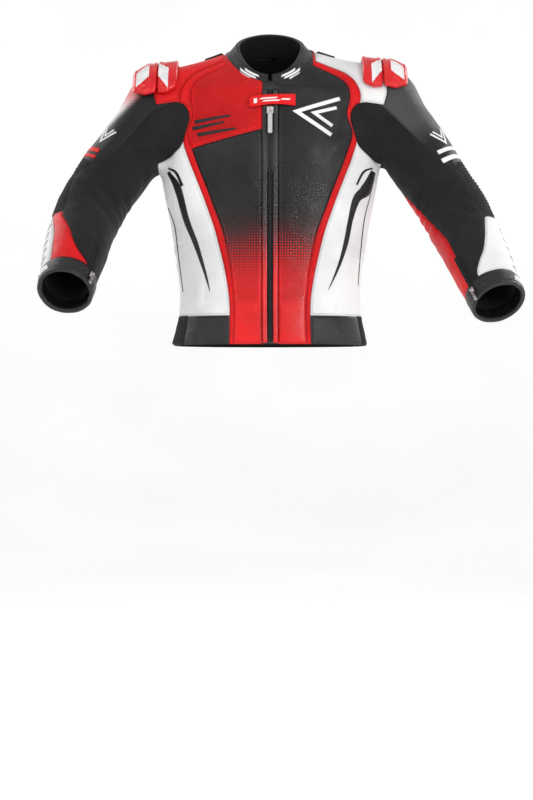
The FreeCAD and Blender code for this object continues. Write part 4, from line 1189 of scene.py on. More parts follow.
def moulded(name, colour, rough=0.28, coat=0.25, speckle=900.0, metal=0.0):
    """Moulded plastic or die-cast metal with a fine texture and slight handling marks."""
    m = Shade(name, Metallic=metal, Coat_Weight=coat, Coat_Roughness=0.15, Specular_IOR_Level=0.3)
    base = m.mix(m.step(m.noise(60.0, 6.0), 0.35, 0.75), colour, scaled(colour, 0.82))
    normal = m.bump(m.noise(speckle, 2.0), 0.0001, 0.35)
    return m.finish(base, m.step(m.noise(35.0, 5.0), 0.3, 0.75, (rough - 0.05, rough + 0.14)), normal)


def woven(name, colour, pitch, rough=0.8):
    """Plain woven tape, thread or mesh."""
    m = Shade(name, Sheen_Weight=0.05, Specular_IOR_Level=0.12)
    x, y, z = m.xyz()
    weave = m.times(m.wave(m.plus(x, m.times(y, 0.7)), pitch), m.wave(z, pitch))
    base = m.mix(m.step(weave, -0.3, 0.8), scaled(colour, 0.55), colour)
    base = m.mix(m.step(m.noise(30.0), 0.4, 0.8, (0.0, 0.3)), base, scaled(colour, 0.6))
    roughness = m.step(m.noise(50.0), 0.2, 0.8, (rough - 0.08, rough + 0.08))
    return m.finish(base, roughness, m.bump(weave, 0.0004, 0.7))


def make_materials():
    return {
        "red": leather("leather_red", RED, DEEP_RED),
        "white": leather("leather_white", WHITE, GREY_WHITE, 0.42),
        "black": leather("leather_black", BLACK, SOFT_BLACK, 0.30, gloss=0.40),
        "red_perforated": leather("leather_red_perforated", RED, DEEP_RED, 0.38, perforated=(-0.60, 0.01)),
        "fading": leather("leather_black_to_red", BLACK, SOFT_BLACK, 0.24, grain=0.35, fade=True, gloss=0.30,
                          perforated=(-0.462, 0.02), hole=(0.002, 0.001, 0.001)),
        "tinted": leather("leather_tinted", WHITE, WHITE, 0.36, tinted=True, gloss=0.22),
        "placket": leather("placket_fading", BLACK, SOFT_BLACK, 0.25, grain=0.4, seams=False, fade=True,
                           gloss=0.42),
        "trim_red": leather("trim_red", RED, DEEP_RED, 0.38, seams=False),
        "trim_white": leather("trim_white", WHITE, GREY_WHITE, 0.42, seams=False, grain=0.5),
        "trim_black": leather("trim_black", BLACK, SOFT_BLACK, 0.34, seams=False, gloss=0.28),
        "trim_grey": leather("trim_grey", (0.10, 0.10, 0.11), (0.16, 0.16, 0.17), 0.5, seams=False,
                             grain=0.5),
        "stretch": stretch_cloth("stretch_black"),
        "stretch_ribs": stretch_cloth("stretch_ribs", (0.014, 0.014, 0.015), seams=False),
        "cup_red": moulded("cup_red", (0.66, 0.008, 0.012)),
        "cup_white": moulded("cup_white", WHITE),
        "hump": leather("hump_cover", BLACK, SOFT_BLACK, 0.30, seams=False, gloss=0.34),
        "foam": woven("armour_foam", (0.07, 0.07, 0.08), 0.004, 0.9),
        "lining": woven("mesh_lining", (0.007, 0.007, 0.0075), 0.0022),
        "tape": woven("zip_tape", (0.022, 0.022, 0.023), 0.0013),
        "teeth": moulded("zip_teeth", (0.02, 0.02, 0.02), 0.35, 0.0),
        "metal": moulded("zip_metal", (0.60, 0.60, 0.59), 0.27, 0.0, 1500.0, metal=1.0),
        "hook": woven("hook_pad", (0.03, 0.03, 0.03), 0.0008, 0.95),
        "thread_red": woven("thread_red", (0.55, 0.01, 0.012), 0.0009, 0.7),
        "thread_white": woven("thread_white", (0.72, 0.72, 0.70), 0.0009, 0.7),
        "thread_black": woven("thread_black", (0.05, 0.05, 0.052), 0.0009, 0.7),
    }


# ------------------------------------------------------------------ the sewn panels
PANELS = [      # name, material, thread, slot, replaced node, puff; a * stands for both sides
    ("front_zip_base", "black", "black", "leather_black", None, 0.3),
    ("neck_back_panel", "black", "black", "leather_black", None, 1.0),
    ("back_centre_panel", "black", "black", "leather_black", "back_centre_panel", 1.6),
    ("waistband_back", "black", "black", "leather_black", "waistband_back", 1.2),
    ("band_*", "red", "red", "leather_red", "band_*", 1.3),
    ("yoke_right", "red", "red", "leather_red", "yoke_right", 1.3),
    ("yoke_left", "white", "white", "leather_white", "yoke_left", 1.3),
    ("side_panel_*", "white", "white", "leather_white", "side_panel_*", 1.6),
    ("back_side_panel_*", "white", "white", "leather_white", "back_side_panel_*", 1.6),
    ("waistband_*", "black", "black", "leather_black", "waistband_*", 1.2),
    ("front_panel_*", "fading", "red", "leather_black_perforated", "front_panel_*", 1.4),
    ("chest_panel_right", "red_perforated", "red", "leather_red", "chest_panel_right", 1.4),
]
SLEEVE_PANELS = [   # name, material, thread, slot, replaced upper and lower nodes, puff
    ("sleeve_leather_*", "tinted", "black", "leather_black", ["sleeve_outer_*"], [], 1.2),
    ("sleeve_back_*", "black", "black", "leather_black", [], [], 1.0),
    ("forearm_white_*", "white", "white", "leather_white", [], ["forearm_outer_*"], 1.4),
    ("forearm_red_right", "red", "red", "leather_red", [], [], 1.4),
    ("sleeve_inner_strip_left", "red", "red", "leather_red", [], [], 1.0),
    ("sleeve_stretch_*", "stretch", None, "stretch_black", ["sleeve_inner_*", "shoulder_gusset_*"],
     ["elbow_gusset_*", "forearm_inner_*"], 0.4),
]
FADE_EDGE = [(0, 57), (20, 59), (44, 51), (70, 45), (95, 38), (140, 30)]     # s, degrees of the front edge
STRIP_RED = (0.72, 0.16, 0.15)
LINE_PITCH, LINE_SLANT = 4.4, 0.16     # the fine lines across the upper arms: mm, mm for each degree


def words_of(pattern):
    """The sides that a pattern stands for: both for a star, else the one that it names, else neither."""
    named = [(side, word) for side, word in SIDES if "*" in pattern or pattern.endswith(f"_{word}")]
    return named or [(0, "")]


def fill_in(patterns, word):
    return [pattern.replace("*", word) for pattern in patterns]


def fade_tint(p):
    """The right upper arm: black, with a pale strip along the top that fades out on all sides."""
    s, degrees = SLEEVES[-1].coordinates(p)
    turn = signed(degrees)
    edge = smooth_table(FADE_EDGE, np.clip(s, 0, 140))[:, 0]
    across = smooth_step(edge + 5, edge - 17, turn) * (1 - smooth_step(-14, -26, turn))
    pale = (across * (1 - smooth_step(70, 135, s)))[:, None]
    white = smooth_step(14, 62, s)[:, None]
    strip = np.array(STRIP_RED) * (1 - white) + np.array(WHITE) * white
    return np.array(BLACK) * (1 - pale) + strip * pale


def lined_tint(p):
    """The left upper arm: black, paler where the fine lines run across the top."""
    s, degrees = SLEEVES[1].coordinates(p)
    share = smooth_step(120, 60, s) * smooth_step(-10, 25, signed(degrees))
    return np.array(BLACK) + 0.05 * share[:, None]


def line_place(p, side):
    """Where a point lies between the fine lines across the upper arm, in lines."""
    s, degrees = SLEEVES[side].coordinates(p)
    return (s + LINE_SLANT * signed(degrees)) / LINE_PITCH


def make_panels(skin, cut, m):
    """Every sewn panel; returns the arrays by name, for the trims laid on them."""
    made = {}
    for pattern, material, thread, slot_name, node, puff in PANELS:
        for _, word in words_of(pattern):
            name = pattern.replace("*", word)
            data = panel(skin, f"{name}_leather", cut[name], [m[material], m[f"thread_{thread}"]], puff)
            finish_panel(data, "body", slot_name, fill_in([node] if node else [], word))
            made[name] = data
    for pattern, material, thread, slot_name, upper, lower, puff in SLEEVE_PANELS:
        for side, word in words_of(pattern):
            name = pattern.replace("*", word)
            looks = [m[material], m[f"thread_{thread}"]] if thread else [m[material]]
            data = panel(skin, f"{name}_skin", cut[name], looks, puff, sewn=bool(thread))
            if material == "tinted":
                data["tint"] = fade_tint if side < 0 else lined_tint
                data["along"] = lambda p, side=side: line_place(p, side)
            finish_panel(data, "arm", slot_name, fill_in(upper, word), side, fill_in(lower, word))
            made[name] = data
    return made


# ------------------------------------------------------------------ ribbed stretch and cuffs
def raised(p, height):
    """Points on the smooth surface moved out by the soft shell's relief and height."""
    out = unit(gradient(jacket_distance, p))
    return p + out * (relief(p) + height)[:, None]


def ridge(turns, sharp=0.6):
    """Rounded ridges between narrow grooves, from 0 to 1, one for each turn."""
    return np.abs(np.sin(math.pi * turns)) ** sharp


def around_body(side, degrees, z):
    """Points on the torso's outside; 0 degrees is the front centre, 180 the back centre."""
    a = np.radians(degrees)
    origins = np.column_stack([0 * z, smooth_table(BODY_SECTIONS, z)[:, 2], z])
    return cast(torso_distance, origins, np.column_stack([side * np.sin(a), -np.cos(a), 0 * z]))


def over_shoulder(side, x, degrees, height, lower=0.0):
    """Points height above the shoulder at x; 0 degrees is the top, with the front negative."""
    girdle = ARMS[side]["girdle"]
    t = np.minimum(x / abs(girdle[0]), 1.12)
    a = np.radians(degrees)
    start = np.array(GIRDLE_START, float)
    origins = start + (np.array(girdle) - start) * t[:, None]
    origins[:, 0] = side * x
    origins[:, 2] -= lower
    return cast(jacket_distance, origins, np.column_stack([0 * a, np.sin(a), np.cos(a)]), -height)


def ribbed(name, surface, columns, rows, thickness, m, zone="body", side=0):
    """A ribbed stretch piece under surface(u, v)."""
    obj = slab(name, surface, columns, rows, thickness, [m["stretch_ribs"]])
    follow(obj, zone, side)
    return obj


def on_back(x, z):
    """Points on the back of the jacket."""
    origins = np.column_stack([x, np.full(len(x), 10.0), z])
    return cast(jacket_distance, origins, np.tile((0.0, 1.0, 0.0), (len(x), 1)))


def waist_stretch(side, word, m):
    low, high = WAIST_STRETCH_DEG[side] - 1, WAIST_STRETCH_END + 1

    def surface(u, v):
        p = around_body(side, low + (high - low) * u, HEM_Z + (WAIST_SEAM_Z + 1 - HEM_Z) * v)
        flare = 3.2 * np.sin(math.pi * u) * (1 - v) * (side < 0)
        edge = faded_ends(u, 0.06) * smooth_step(0, 0.05, v)
        return raised(p, -1.2 + edge * (0.5 + flare + 1.9 * ridge(u * 14)))
    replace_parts(ribbed(f"waist_stretch_{word}", surface, 99, 18, 1.4, m), "waist_stretch_panels")


def back_stretch(m):
    def surface(u, v):
        x = (2 * u - 1) * (BACK_PANEL_HALF + 1)
        z = WAIST_SEAM_Z - 1 + (BACK_STRETCH_TOP - WAIST_SEAM_Z + 2) * v
        edge = faded_ends(u, 0.05) * faded_ends(v, 0.03)
        return raised(on_back(x, z), -1.2 + edge * (0.4 + 2.4 * ridge(v * 11)))
    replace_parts(ribbed("back_stretch_ribs", surface, 44, 111, 1.4, m), "back_stretch_panel")


def elbow_ribs(side, word, m):
    """The square-ribbed stretch panel over the outside of the elbow."""
    sleeve = SLEEVES[side]

    def surface(u, v):
        turn = SLEEVE_BACK[0] - 3 + u * 3
        for _ in range(2):
            s_top = elbow_ribs_start(turn) - 2
            s_end = elbow_ribs_end(turn) + 3
            s = s_top + (s_end - s_top) * v
            front = smooth_table(SLEEVE_FRONT[side], s)[:, 0] + 3
            turn = SLEEVE_BACK[0] - 3 + (front - SLEEVE_BACK[0] + 3) * u
        p = onto_surface(jacket_distance, sleeve.place(s, turn), 2)
        edge = faded_ends(u, 0.04) * faded_ends(v, 0.03, 0.06)
        ribs = ridge(v * 20, 0.7) * (0.45 + 0.55 * ridge(u * 21, 0.5))
        return raised(p, -1.6 + edge * (0.5 + 2.7 * ribs))
    obj = ribbed(f"elbow_ribs_{word}", surface, 106, 121, 1.3, m, "elbow", side)
    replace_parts(obj, f"elbow_panel_{word}")


def fold(v, share):
    """How far up a folded section v is, from 0 to 1 and back, and its turn over the rim.

    share is the part of v that each side of the fold takes.
    """
    up, down = np.clip(v / share, 0, 1), np.clip((v - 1 + share) / share, 0, 1)
    return up - down, np.clip((v - share) / (1 - 2 * share), 0, 1) * math.pi


CUFF_FLARE, CUFF_WALL = 2.4, 8.5
CUFF_BARS = (10, 18, 34, 62), (20, 23, 34, 62)       # along the cuff and round it, from and to


def cuff_lean(base):
    """The cuff's soft unevenness, which the bars on it follow."""
    return 0.6 * ripples(base, 60, 31) + 0.5 * ripples(base, 24, 32)


def cuff(side, word, m):
    """A padded cuff with a rolled edge and a stitched channel."""
    sleeve = SLEEVES[side]
    start, end = sleeve.total - CUFF_LENGTH - 2, sleeve.total - 0.4

    def surface(u, v):
        degrees = u * 360
        uneven = 1.8 * np.cos(np.radians(degrees + 70)) + 0.8 * np.cos(np.radians(3 * degrees))
        nose = (CUFF_WALL + uneven) / 2
        up, turn = fold(v, 0.42)
        s = start + (end - nose - start) * up + nose * np.sin(turn)
        height = CUFF_FLARE - nose + nose * np.cos(turn)
        channel = np.exp(-((s - end + 9) / 1.1) ** 2) + np.exp(-((s - start - 3.4) / 1.0) ** 2)
        height = height - 0.9 * channel * (v < 0.42) - 1.8 * smooth_step(6, 0, s - start) * (v < 0.5)
        base = sleeve.place(np.minimum(s, sleeve.total), degrees)
        return base + unit(base - sleeve.inner(s)) * (height + cuff_lean(base))[:, None]
    obj = wrap(f"cuff_{word}_padded", surface, 120, 40, [m["black"]])
    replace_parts(obj, f"cuff_{word}")
    follow(obj, "forearm", side)


def cuff_bars(side, word, m):
    """Two plain bars on the outside of the cuff."""
    sleeve = SLEEVES[side]
    for k, (low, high, first, last) in enumerate(CUFF_BARS):
        u, v = grid_uv(5, 15)
        s = sleeve.total - CUFF_LENGTH + low + (high - low) * u
        base = sleeve.place(s, first + (last - first) * v + 0.5 * (s - sleeve.total))
        out = unit(base - sleeve.inner(s))
        height = CUFF_FLARE + cuff_lean(base)
        bar = grid_shell(f"cuff_bar_{k + 1}_{word}", base + out * (height + 0.7)[:, None],
                         base + out * (height - 0.8)[:, None], 5, 15, [m["trim_white"]])
        follow(bar, "forearm", side)


# ------------------------------------------------------------------ collar, hump, shoulder cups
COLLAR_BASE = (84.0, -84.0, 70.0, -57.0, 9.0, 17.0)    # half width, front y, back y, front z, side z, back z
COLLAR_RIM = (62.0, -78.0, 58.0, -36.0, 28.0, 62.0)
COLLAR_GAP = 3.0


def collar_ring(ring, degrees):
    """Points of the collar's base or rim; 0 degrees is the front."""
    half_width, front_y, back_y, front_z, side_z, back_z = ring
    a = np.radians(degrees)
    c = np.cos(a)
    rise = np.where(c > 0, (front_z - side_z) * np.maximum(c, 0) ** 1.25, (back_z - side_z) * np.abs(c))
    return np.column_stack([half_width * np.sin(a), (front_y + back_y) / 2 - (back_y - front_y) / 2 * c,
                            side_z + rise])


def collar_point(degrees, v, inwards):
    """v runs up the wall from the neck seam; inwards is the distance from its outer face."""
    low, high = collar_ring(COLLAR_BASE, degrees), collar_ring(COLLAR_RIM, degrees)
    a = np.radians(degrees)
    way = np.column_stack([-np.sin(a), np.cos(a), np.full(len(a), -0.25)])
    return low + (high - low) * np.reshape(v, (-1, 1)) + way * np.reshape(inwards, (-1, 1))


def collar(m):
    """The stand-up collar: leather outside, a bound rim and a padded inner face."""
    def surface(u, v):
        degrees = COLLAR_GAP + u * (360 - 2 * COLLAR_GAP)
        up, turn = fold(v, 0.45)
        height = 0.02 + 0.95 * up + 0.035 * np.sin(turn)
        wall = 2.6 - 2.9 * np.cos(turn)
        seam = np.exp(-((height - 0.86) / 0.022) ** 2) * (v < 0.5)
        pad = np.sin(math.pi * np.clip(height, 0, 1)) ** 0.6 * (v > 0.5)
        ends = faded_ends(u, 0.02)
        base = collar_point(degrees, height, 0 * u)
        soft = 0.7 * ripples(base, 70, 41) + 0.3 * ripples(base, 26, 42)
        outside = (v < 0.5) * (soft * ends + 0.5 * ends * (1 - seam * 2.4))
        return collar_point(degrees, height, wall - outside + pad * 1.2)

    def index(v):
        return np.where((v > 0.56) & (v < 0.99), 1, 0)
    obj = wrap("collar_padded", surface, 150, 60, [m["trim_black"], m["lining"]], False, index)
    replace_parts(obj, "collar_shell")
    follow(obj, "body")


HUMP = (-30.0, -236.0, 58.0, 30.0)      # top z, bottom z, half width, height


def hump(m):
    """The streamlined pod on the back, with a raised spine and two side channels."""
    top_z, bottom_z, half_width, height = HUMP

    def surface(u, v):
        across = 2 * u - 1
        width = half_width * (0.35 + 0.65 * np.sin(math.pi * (0.12 + 0.55 * v)))
        z = bottom_z + v * (top_z - bottom_z)
        x = across * width
        rise = np.sin(math.pi * np.minimum(1, v**1.5)).clip(0) ** 0.8 * (1 - across**2).clip(0) ** 0.7
        spine = 0.8 * np.exp(-(across / 0.10) ** 2) - 1.6 * np.exp(-((np.abs(across) - 0.55) / 0.06) ** 2)
        rim = 2.0 * smooth_step(0, 0.05, np.minimum(u, 1 - u)) * smooth_step(0, 0.03, np.minimum(v, 1 - v))
        depth = 0.6 + rim + height * rise + spine * np.minimum(rise * 2, 1)
        return on_back(x, z) + np.column_stack([0 * x, depth, 0 * x])
    top = surface(*grid_uv(49, 81))
    foot = on_back(top[:, 0], top[:, 2])
    obj = grid_shell("hump_cover", top, foot - (0, 1.5, 0), 49, 81, [m["hump"]])
    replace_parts(obj, "hump_shell")
    follow(obj, "body")


CUP_RISE, CUP_LIFT = 4.5, 6.0      # of the crown over the rim; of the rays' start under the shoulder line
CUPS = {      # x from and to, front and back angle at the first and at the last x, standoff
    "inner": (170.0, 206.5, (-70, 50), (-73, 52), 8.2),
    "outer": (207.5, 253.0, (-72, 50), (-62, 44), 10.0),
}
CUP_WINDOWS = {      # u from and to, v from and to, slant of the ends with u
    "inner": ((0.46, 0.93, 0.10, 0.34, 0.07), (0.46, 0.93, 0.62, 0.86, -0.07)),
    "outer": ((0.34, 0.84, 0.12, 0.36, -0.06), (0.34, 0.84, 0.62, 0.84, 0.06)),
}


def cup_window(u, v, part, grow=0.0):
    """1 inside the pale windows of a cup, 0 on its ribs."""
    inside = np.zeros(len(u))
    for u0, u1, v0, v1, slant in CUP_WINDOWS[part]:
        lean = slant * (u - (u0 + u1) / 2) / (u1 - u0) * 2
        across = between(u0 - grow, u1 + grow, 0.03, 0.01, u)
        along = between(v0 - grow, v1 + grow, 0.012, 0.006, v - lean)
        inside = np.maximum(inside, across * along)
    return inside


def shoulder_cup(side, word, part, m):
    """Half of a moulded shoulder cup: stepped ribs round pale windows."""
    start, end, first, last, standoff = CUPS[part]

    def place(u, v, height):
        notch = 0.10 * smooth_step(0.86, 1.0, np.abs(2 * v - 1))
        u = 0.5 + (u - 0.5) * (1 - notch)
        low, high = first[0] + (last[0] - first[0]) * u, first[1] + (last[1] - first[1]) * u
        point = 5.0 * (1 - np.abs(2 * u - 1)) * (2 * v - 1) ** 5
        degrees = low + (high - low) * v + point
        return over_shoulder(side, start + u * (end - start), degrees, height, CUP_LIFT)

    def top_height(u, v):
        crown = np.cos((2 * v - 1) * 1.25) * (0.75 + 0.25 * np.sin(math.pi * u))
        rim = np.minimum(np.minimum(u, 1 - u) * (end - start), np.minimum(v, 1 - v) * 130)
        wall = 1.6 * smooth_step(0, 2.2, rim)
        outer_rib = 1.2 * smooth_step(1.0, 2.6, rim) * smooth_step(7.0, 5.2, rim)
        window = cup_window(u, v, part)
        frame_rib = 1.3 * cup_window(u, v, part, 0.055) * (1 - window)
        return standoff + wall + CUP_RISE * crown + outer_rib + frame_rib - 0.9 * window
    columns, rows = 41, 121
    u, v = grid_uv(columns, rows)
    faces = grid_faces(columns, rows)
    pale = (cup_window(u[faces].mean(1), v[faces].mean(1), part) > 0.5).astype(int)
    obj = grid_shell(f"cup_{part}_{word}", place(u, v, top_height(u, v)),
                     place(u, v, np.full(len(u), standoff - 3)), columns, rows,
                     [m["cup_red"], m["cup_white"]], pale)
    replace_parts(obj, f"shoulder_cup_{part}_{word}")
    follow(obj, "body" if part == "inner" else "shoulder", side)


def shoulder_pleats(side, word, m):
    """Ribbed stretch from the top of the shoulder towards the back's yoke seam, beside the back panel."""
    def surface(u, v):
        p = over_shoulder(side, 86 + (36 - 6 * v) * u, -7 + 91 * v, 0 * u)
        edge = faded_ends(u, 0.08) * faded_ends(v, 0.03)
        return raised(p, 0.6 + edge * (1.8 + 2.4 * ridge(v * 15)))
    ribbed(f"shoulder_pleats_{word}", surface, 25, 136, 1.6, m)


# ------------------------------------------------------------------ zips and the neck tab
def front_strip(name, x_from, x_to, z_from, z_to, forward, columns, rows, deep, m, key, node):
    """A long strip beside the front zip; forward(u) is its height over the zip's plane."""
    def surface(u, v):
        z = z_from + (z_to - z_from) * v
        wave = 0.25 * np.sin(z / 23.0 + x_from)
        return np.column_stack([x_from + (x_to - x_from) * u + wave, zip_y(z) - forward(u), z])
    top = surface(*grid_uv(columns, rows))
    obj = grid_shell(name, top, top + (0, deep, 0), columns, rows, [m[key]])
    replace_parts(obj, node)
    follow(obj, "body")


def front_zip(m):
    """The leather edge and the tape on each side of the front zip; u runs outwards on side 1."""
    def placket_height(u):
        crown = 1.5 * np.sin(math.pi * np.clip(u, 0.03, 0.97)) ** 0.5
        return 2.4 + crown - 0.5 * np.exp(-((u - 0.5) / 0.09) ** 2)

    for side, word in SIDES:
        def tape_height(u, side=side):
            return 1.35 + 0.5 * np.exp(-(((u if side > 0 else 1 - u) - 0.06) / 0.07) ** 2)
        edge, tape = sorted((side * 5.6, side * 13.6)), sorted((side * 1.2, side * 11.0))
        front_strip(f"placket_{word}", *edge, HEM_Z + 2, -65, placket_height, 15, 90, 1.7, m, "placket",
                    "zip_plackets")
        front_strip(f"zip_tape_{word}", *tape, HEM_Z + 6, -66, tape_height, 13, 60, 1.0, m, "tape",
                    "front_zip_tapes")


TAB_START, TAB_LENGTH = -38.0, 84.0      # along x
TAB_LOW, TAB_HEIGHT = -96.0, 21.0        # along z
TAB_STITCH = 3.6
TAB_BARS = [      # u from and to, v from and to
    (0.10, 0.17, 0.28, 0.72), (0.24, 0.60, 0.56, 0.70), (0.30, 0.66, 0.30, 0.44), (0.70, 0.88, 0.43, 0.57),
]


def neck_tab(m):
    """The padded leather tab over the top of the zip, with a stitched border and plain raised bars."""
    def place(u, v, depth):
        x = TAB_START + TAB_LENGTH * u
        v = 0.5 + (v - 0.5) * np.minimum(1, smooth_step(-0.16, 0.10, u) * 1.02)
        z = TAB_LOW + TAB_HEIGHT * v + 3.0 * np.sin(math.pi * u) * (1 - v) - 4 * (1 - u) ** 2
        y = zip_y(np.full(len(u), -85.0)) - 8.2 + 4.2 * np.abs(x / 42) ** 1.6
        return np.column_stack([x, y - 2.4 + depth, z])
    u, v = grid_uv(85, 29)
    rim = np.minimum(np.minimum(u, 1 - u) * TAB_LENGTH, np.minimum(v, 1 - v) * TAB_HEIGHT)
    groove = np.exp(-((rim - 2.6) / 0.5) ** 2)
    stitch = groove * (0.5 + 0.5 * np.sin((u * TAB_LENGTH + v * TAB_HEIGHT) * 2 * math.pi / TAB_STITCH))
    puff = 0.9 * (1 - np.exp(-rim / 2.0)) - 0.5 * groove + 0.45 * stitch
    obj = grid_shell("neck_tab_padded", place(u, v, -puff), place(u, v, 2.2 + 0 * u), 85, 29, [m["trim_red"]])
    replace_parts(obj, "neck_tab")
    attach(obj, "neck_tab")
    for k, (start, end, low, high) in enumerate(TAB_BARS):
        u, v = grid_uv(13, 5)
        u, v = start + (end - start) * u + 0.05 * (v - 0.5) * (k > 0), low + (high - low) * v
        bar = grid_shell(f"tab_bar_{k + 1}", place(u, v, -1.35), place(u, v, -0.5), 13, 5, [m["trim_white"]])
        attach(bar, "neck_tab")


CUFF_TAPE_LENGTH, CUFF_TAPE_DEG = 96.0, 16.0


def cuff_tape(side, word, m):
    """The tape of a cuff's zip, with a low rib near each edge."""
    sleeve = SLEEVES[side]

    def surface(u, v):
        rib = 0.25 * np.exp(-((np.abs(u - 0.5) - 0.36) / 0.05) ** 2)
        s = sleeve.total - 8.0 - CUFF_TAPE_LENGTH * (1 - v)
        return sleeve.place(s, CUFF_ZIP_DEG + CUFF_TAPE_DEG * (u - 0.5), 1.7 + rib)
    obj = slab(f"cuff_tape_{word}", surface, 21, 61, 1.2, [m["tape"]])
    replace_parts(obj, f"cuff_zip_tape_{word}")
    follow(obj, "forearm", side)


# ------------------------------------------------------------------ trims laid on the panels
class Ground:
    """The outside of some finished panels, to lay a trim on."""

    def __init__(self, *panels):
        starts = np.cumsum([0] + [len(data["points"]) for data in panels])
        faces = [data["faces"] + start for data, start in zip(panels, starts)]
        self.tree = BVHTree.FromPolygons(np.vstack([data["points"] for data in panels]).tolist(),
                                         np.vstack(faces).tolist())

    def hit(self, origins, directions):
        """Where each ray meets the ground within its length, else the nearest point, and the normals."""
        out, normals = [], []
        for origin, direction in zip(origins, directions):
            o, d = Vector(origin), Vector(direction)
            p, n, _, _ = self.tree.ray_cast(o, d.normalized(), d.length)
            if p is None:
                p, n, _, _ = self.tree.find_nearest(o + d * 0.55)
            out.append(p)
            normals.append(-n if n.dot(d) > 0 else n)
        return np.array(out), np.array(normals)


TRIM_ROWS = 5              # points across a trim


def ribbon(line, widths, columns, smooth=True):
    """A flat strip along a line in a plane, TRIM_ROWS points wide; widths are given at the line's points."""
    line = np.asarray(line, float)
    keys = np.linspace(0, 1, len(line))
    t = np.linspace(0, 1, columns)
    if smooth and len(line) > 2:
        middle = smooth_table(np.column_stack([keys, line]), t)
    else:
        middle = np.column_stack([np.interp(t, keys, line[:, k]) for k in range(2)])
    width = np.interp(t, keys, widths)
    along = unit(np.gradient(middle, axis=0))
    normal = np.column_stack([-along[:, 1], along[:, 0]])
    offsets = np.linspace(-0.5, 0.5, TRIM_ROWS)[None, :, None]
    return (middle[:, None] + normal[:, None] * (width[:, None, None] * offsets)).reshape(-1, 2)


def mitred(line, width, columns_each=8, across=TRIM_ROWS):
    """A strip with sharp corners through the line's points."""
    line = np.asarray(line, float)
    ways = unit(np.diff(line, axis=0))
    normals = np.column_stack([-ways[:, 1], ways[:, 0]])
    corner = np.vstack([normals[:1], unit(normals[:-1] + normals[1:]), normals[-1:]])
    stretch = np.ones(len(line))
    stretch[1:-1] = 1 / np.maximum((corner[1:-1] * normals[1:]).sum(1), 0.35)
    ends = corner * (stretch * width / 2)[:, None]
    offsets = np.linspace(-1, 1, across)[:, None]
    rows = []
    for k in range(len(line) - 1):
        for t in np.linspace(0, 1, columns_each, endpoint=k == len(line) - 2):
            middle = line[k] * (1 - t) + line[k + 1] * t
            rows.append(middle + (ends[k] * (1 - t) + ends[k + 1] * t) * offsets)
    return np.vstack(rows)


def lay(name, flat, ground, rays, material, zone, side=0, across=TRIM_ROWS, thick=0.75):
    """Lay a flat strip of 2-D points on the ground along rays(flat) and place it with follow."""
    p, n = ground.hit(*rays(flat))
    obj = grid_shell(name, p + n * thick, p - n * 0.8, len(flat) // across, across, [material])
    follow(obj, zone, side)


def front_rays(flat):
    """Rays backwards from in front of the jacket for 2-D points given as x and z."""
    origins = np.column_stack([flat[:, 0], np.full(len(flat), -300.0), flat[:, 1]])
    return origins, np.tile((0.0, 500.0, 0.0), (len(flat), 1))


def arm_rays(side):
    """Rays for 2-D points given as millimetres round the sleeve from its outside, and s."""
    sleeve = SLEEVES[side]

    def rays(flat):
        radius = smooth_table(np.column_stack([sleeve.lengths, sleeve.radii]), flat[:, 1])[:, 0]
        degrees = np.degrees(flat[:, 0] / radius)
        high = sleeve.place(flat[:, 1], degrees, 24)
        return high, sleeve.place(flat[:, 1], degrees, -20) - high
    return rays


SWOOSHES = {      # x and z of the dark sweeps on the white side panels, with their widths
    -1: (([(-187, -210), (-169, -241), (-153, -299), (-135, -345), (-118, -398), (-109, -432)],
          [5, 13, 11, 9, 4.5, 0.8]),
         ([(-187, -203), (-172, -213), (-160, -238)], [2.5, 4.5, 5]),
         ([(-188, -274), (-175, -311), (-168, -369), (-160, -430)], [0.7, 1.3, 1.3, 0.7])),
    1: (([(190, -209), (176, -243), (158, -262), (147, -298), (138, -343), (125, -385), (106, -429)],
         [9, 21, 14, 9, 8.5, 5, 0.8]),
        ([(188, -203), (171, -212), (158, -236)], [2.5, 4.0, 3.2]),
        ([(185, -250), (173, -298), (167, -350), (162, -418)], [0.7, 1.3, 1.3, 0.7])),
}
CHEVRONS = ([(127, -80), (48, -106), (111, -148)], 7.0), ([(121, -97), (80, -108), (113, -131)], 6.0)
ARM_CHEVRONS = ([(24, 94), (45, 126), (67, 99)], 4.0), ([(32, 95), (45, 113), (59, 97)], 3.2)
ARM_BARS = {-1: ((146, 9, 60), (160, 7, 62)), 1: ((138, 8, 76), (156, 9, 78))}   # s, width, end
ARM_BAR_START = 14
CHEST_BARS = (-137, -72, -118), (-141, -84, -130), (-132, -62, -142)      # x from and to, z
MARKS_START, MARK_PITCH, MARK_WIDTH = 322, 24, 1.4      # the outlines on the forearms, in s


def side_sweeps(side, word, made, m):
    """Dark sweeps on the side panel."""
    ground = Ground(made[f"side_panel_{word}"], made[f"back_side_panel_{word}"])
    for k, (line, widths) in enumerate(SWOOSHES[side]):
        lay(f"sweep_{k + 1}_{word}", ribbon(line, widths, 60), ground, front_rays, m["trim_black"],
            "body")


def chest_trims(made, m):
    """A double chevron on the left of the chest and bars on its right."""
    ground = Ground(made["front_panel_left"])
    for k, (line, width) in enumerate(CHEVRONS):
        lay(f"chest_chevron_{k + 1}", mitred(line, width, 14), ground, front_rays, m["trim_white"],
            "body")
    ground = Ground(made["chest_panel_right"])
    for k, (start, end, z) in enumerate(CHEST_BARS):
        flat = ribbon([(start, z - 5), (end, z + 5)], [7, 3.5], 24, smooth=False)
        lay(f"chest_bar_{k + 1}", flat, ground, front_rays, m["trim_black"], "body")


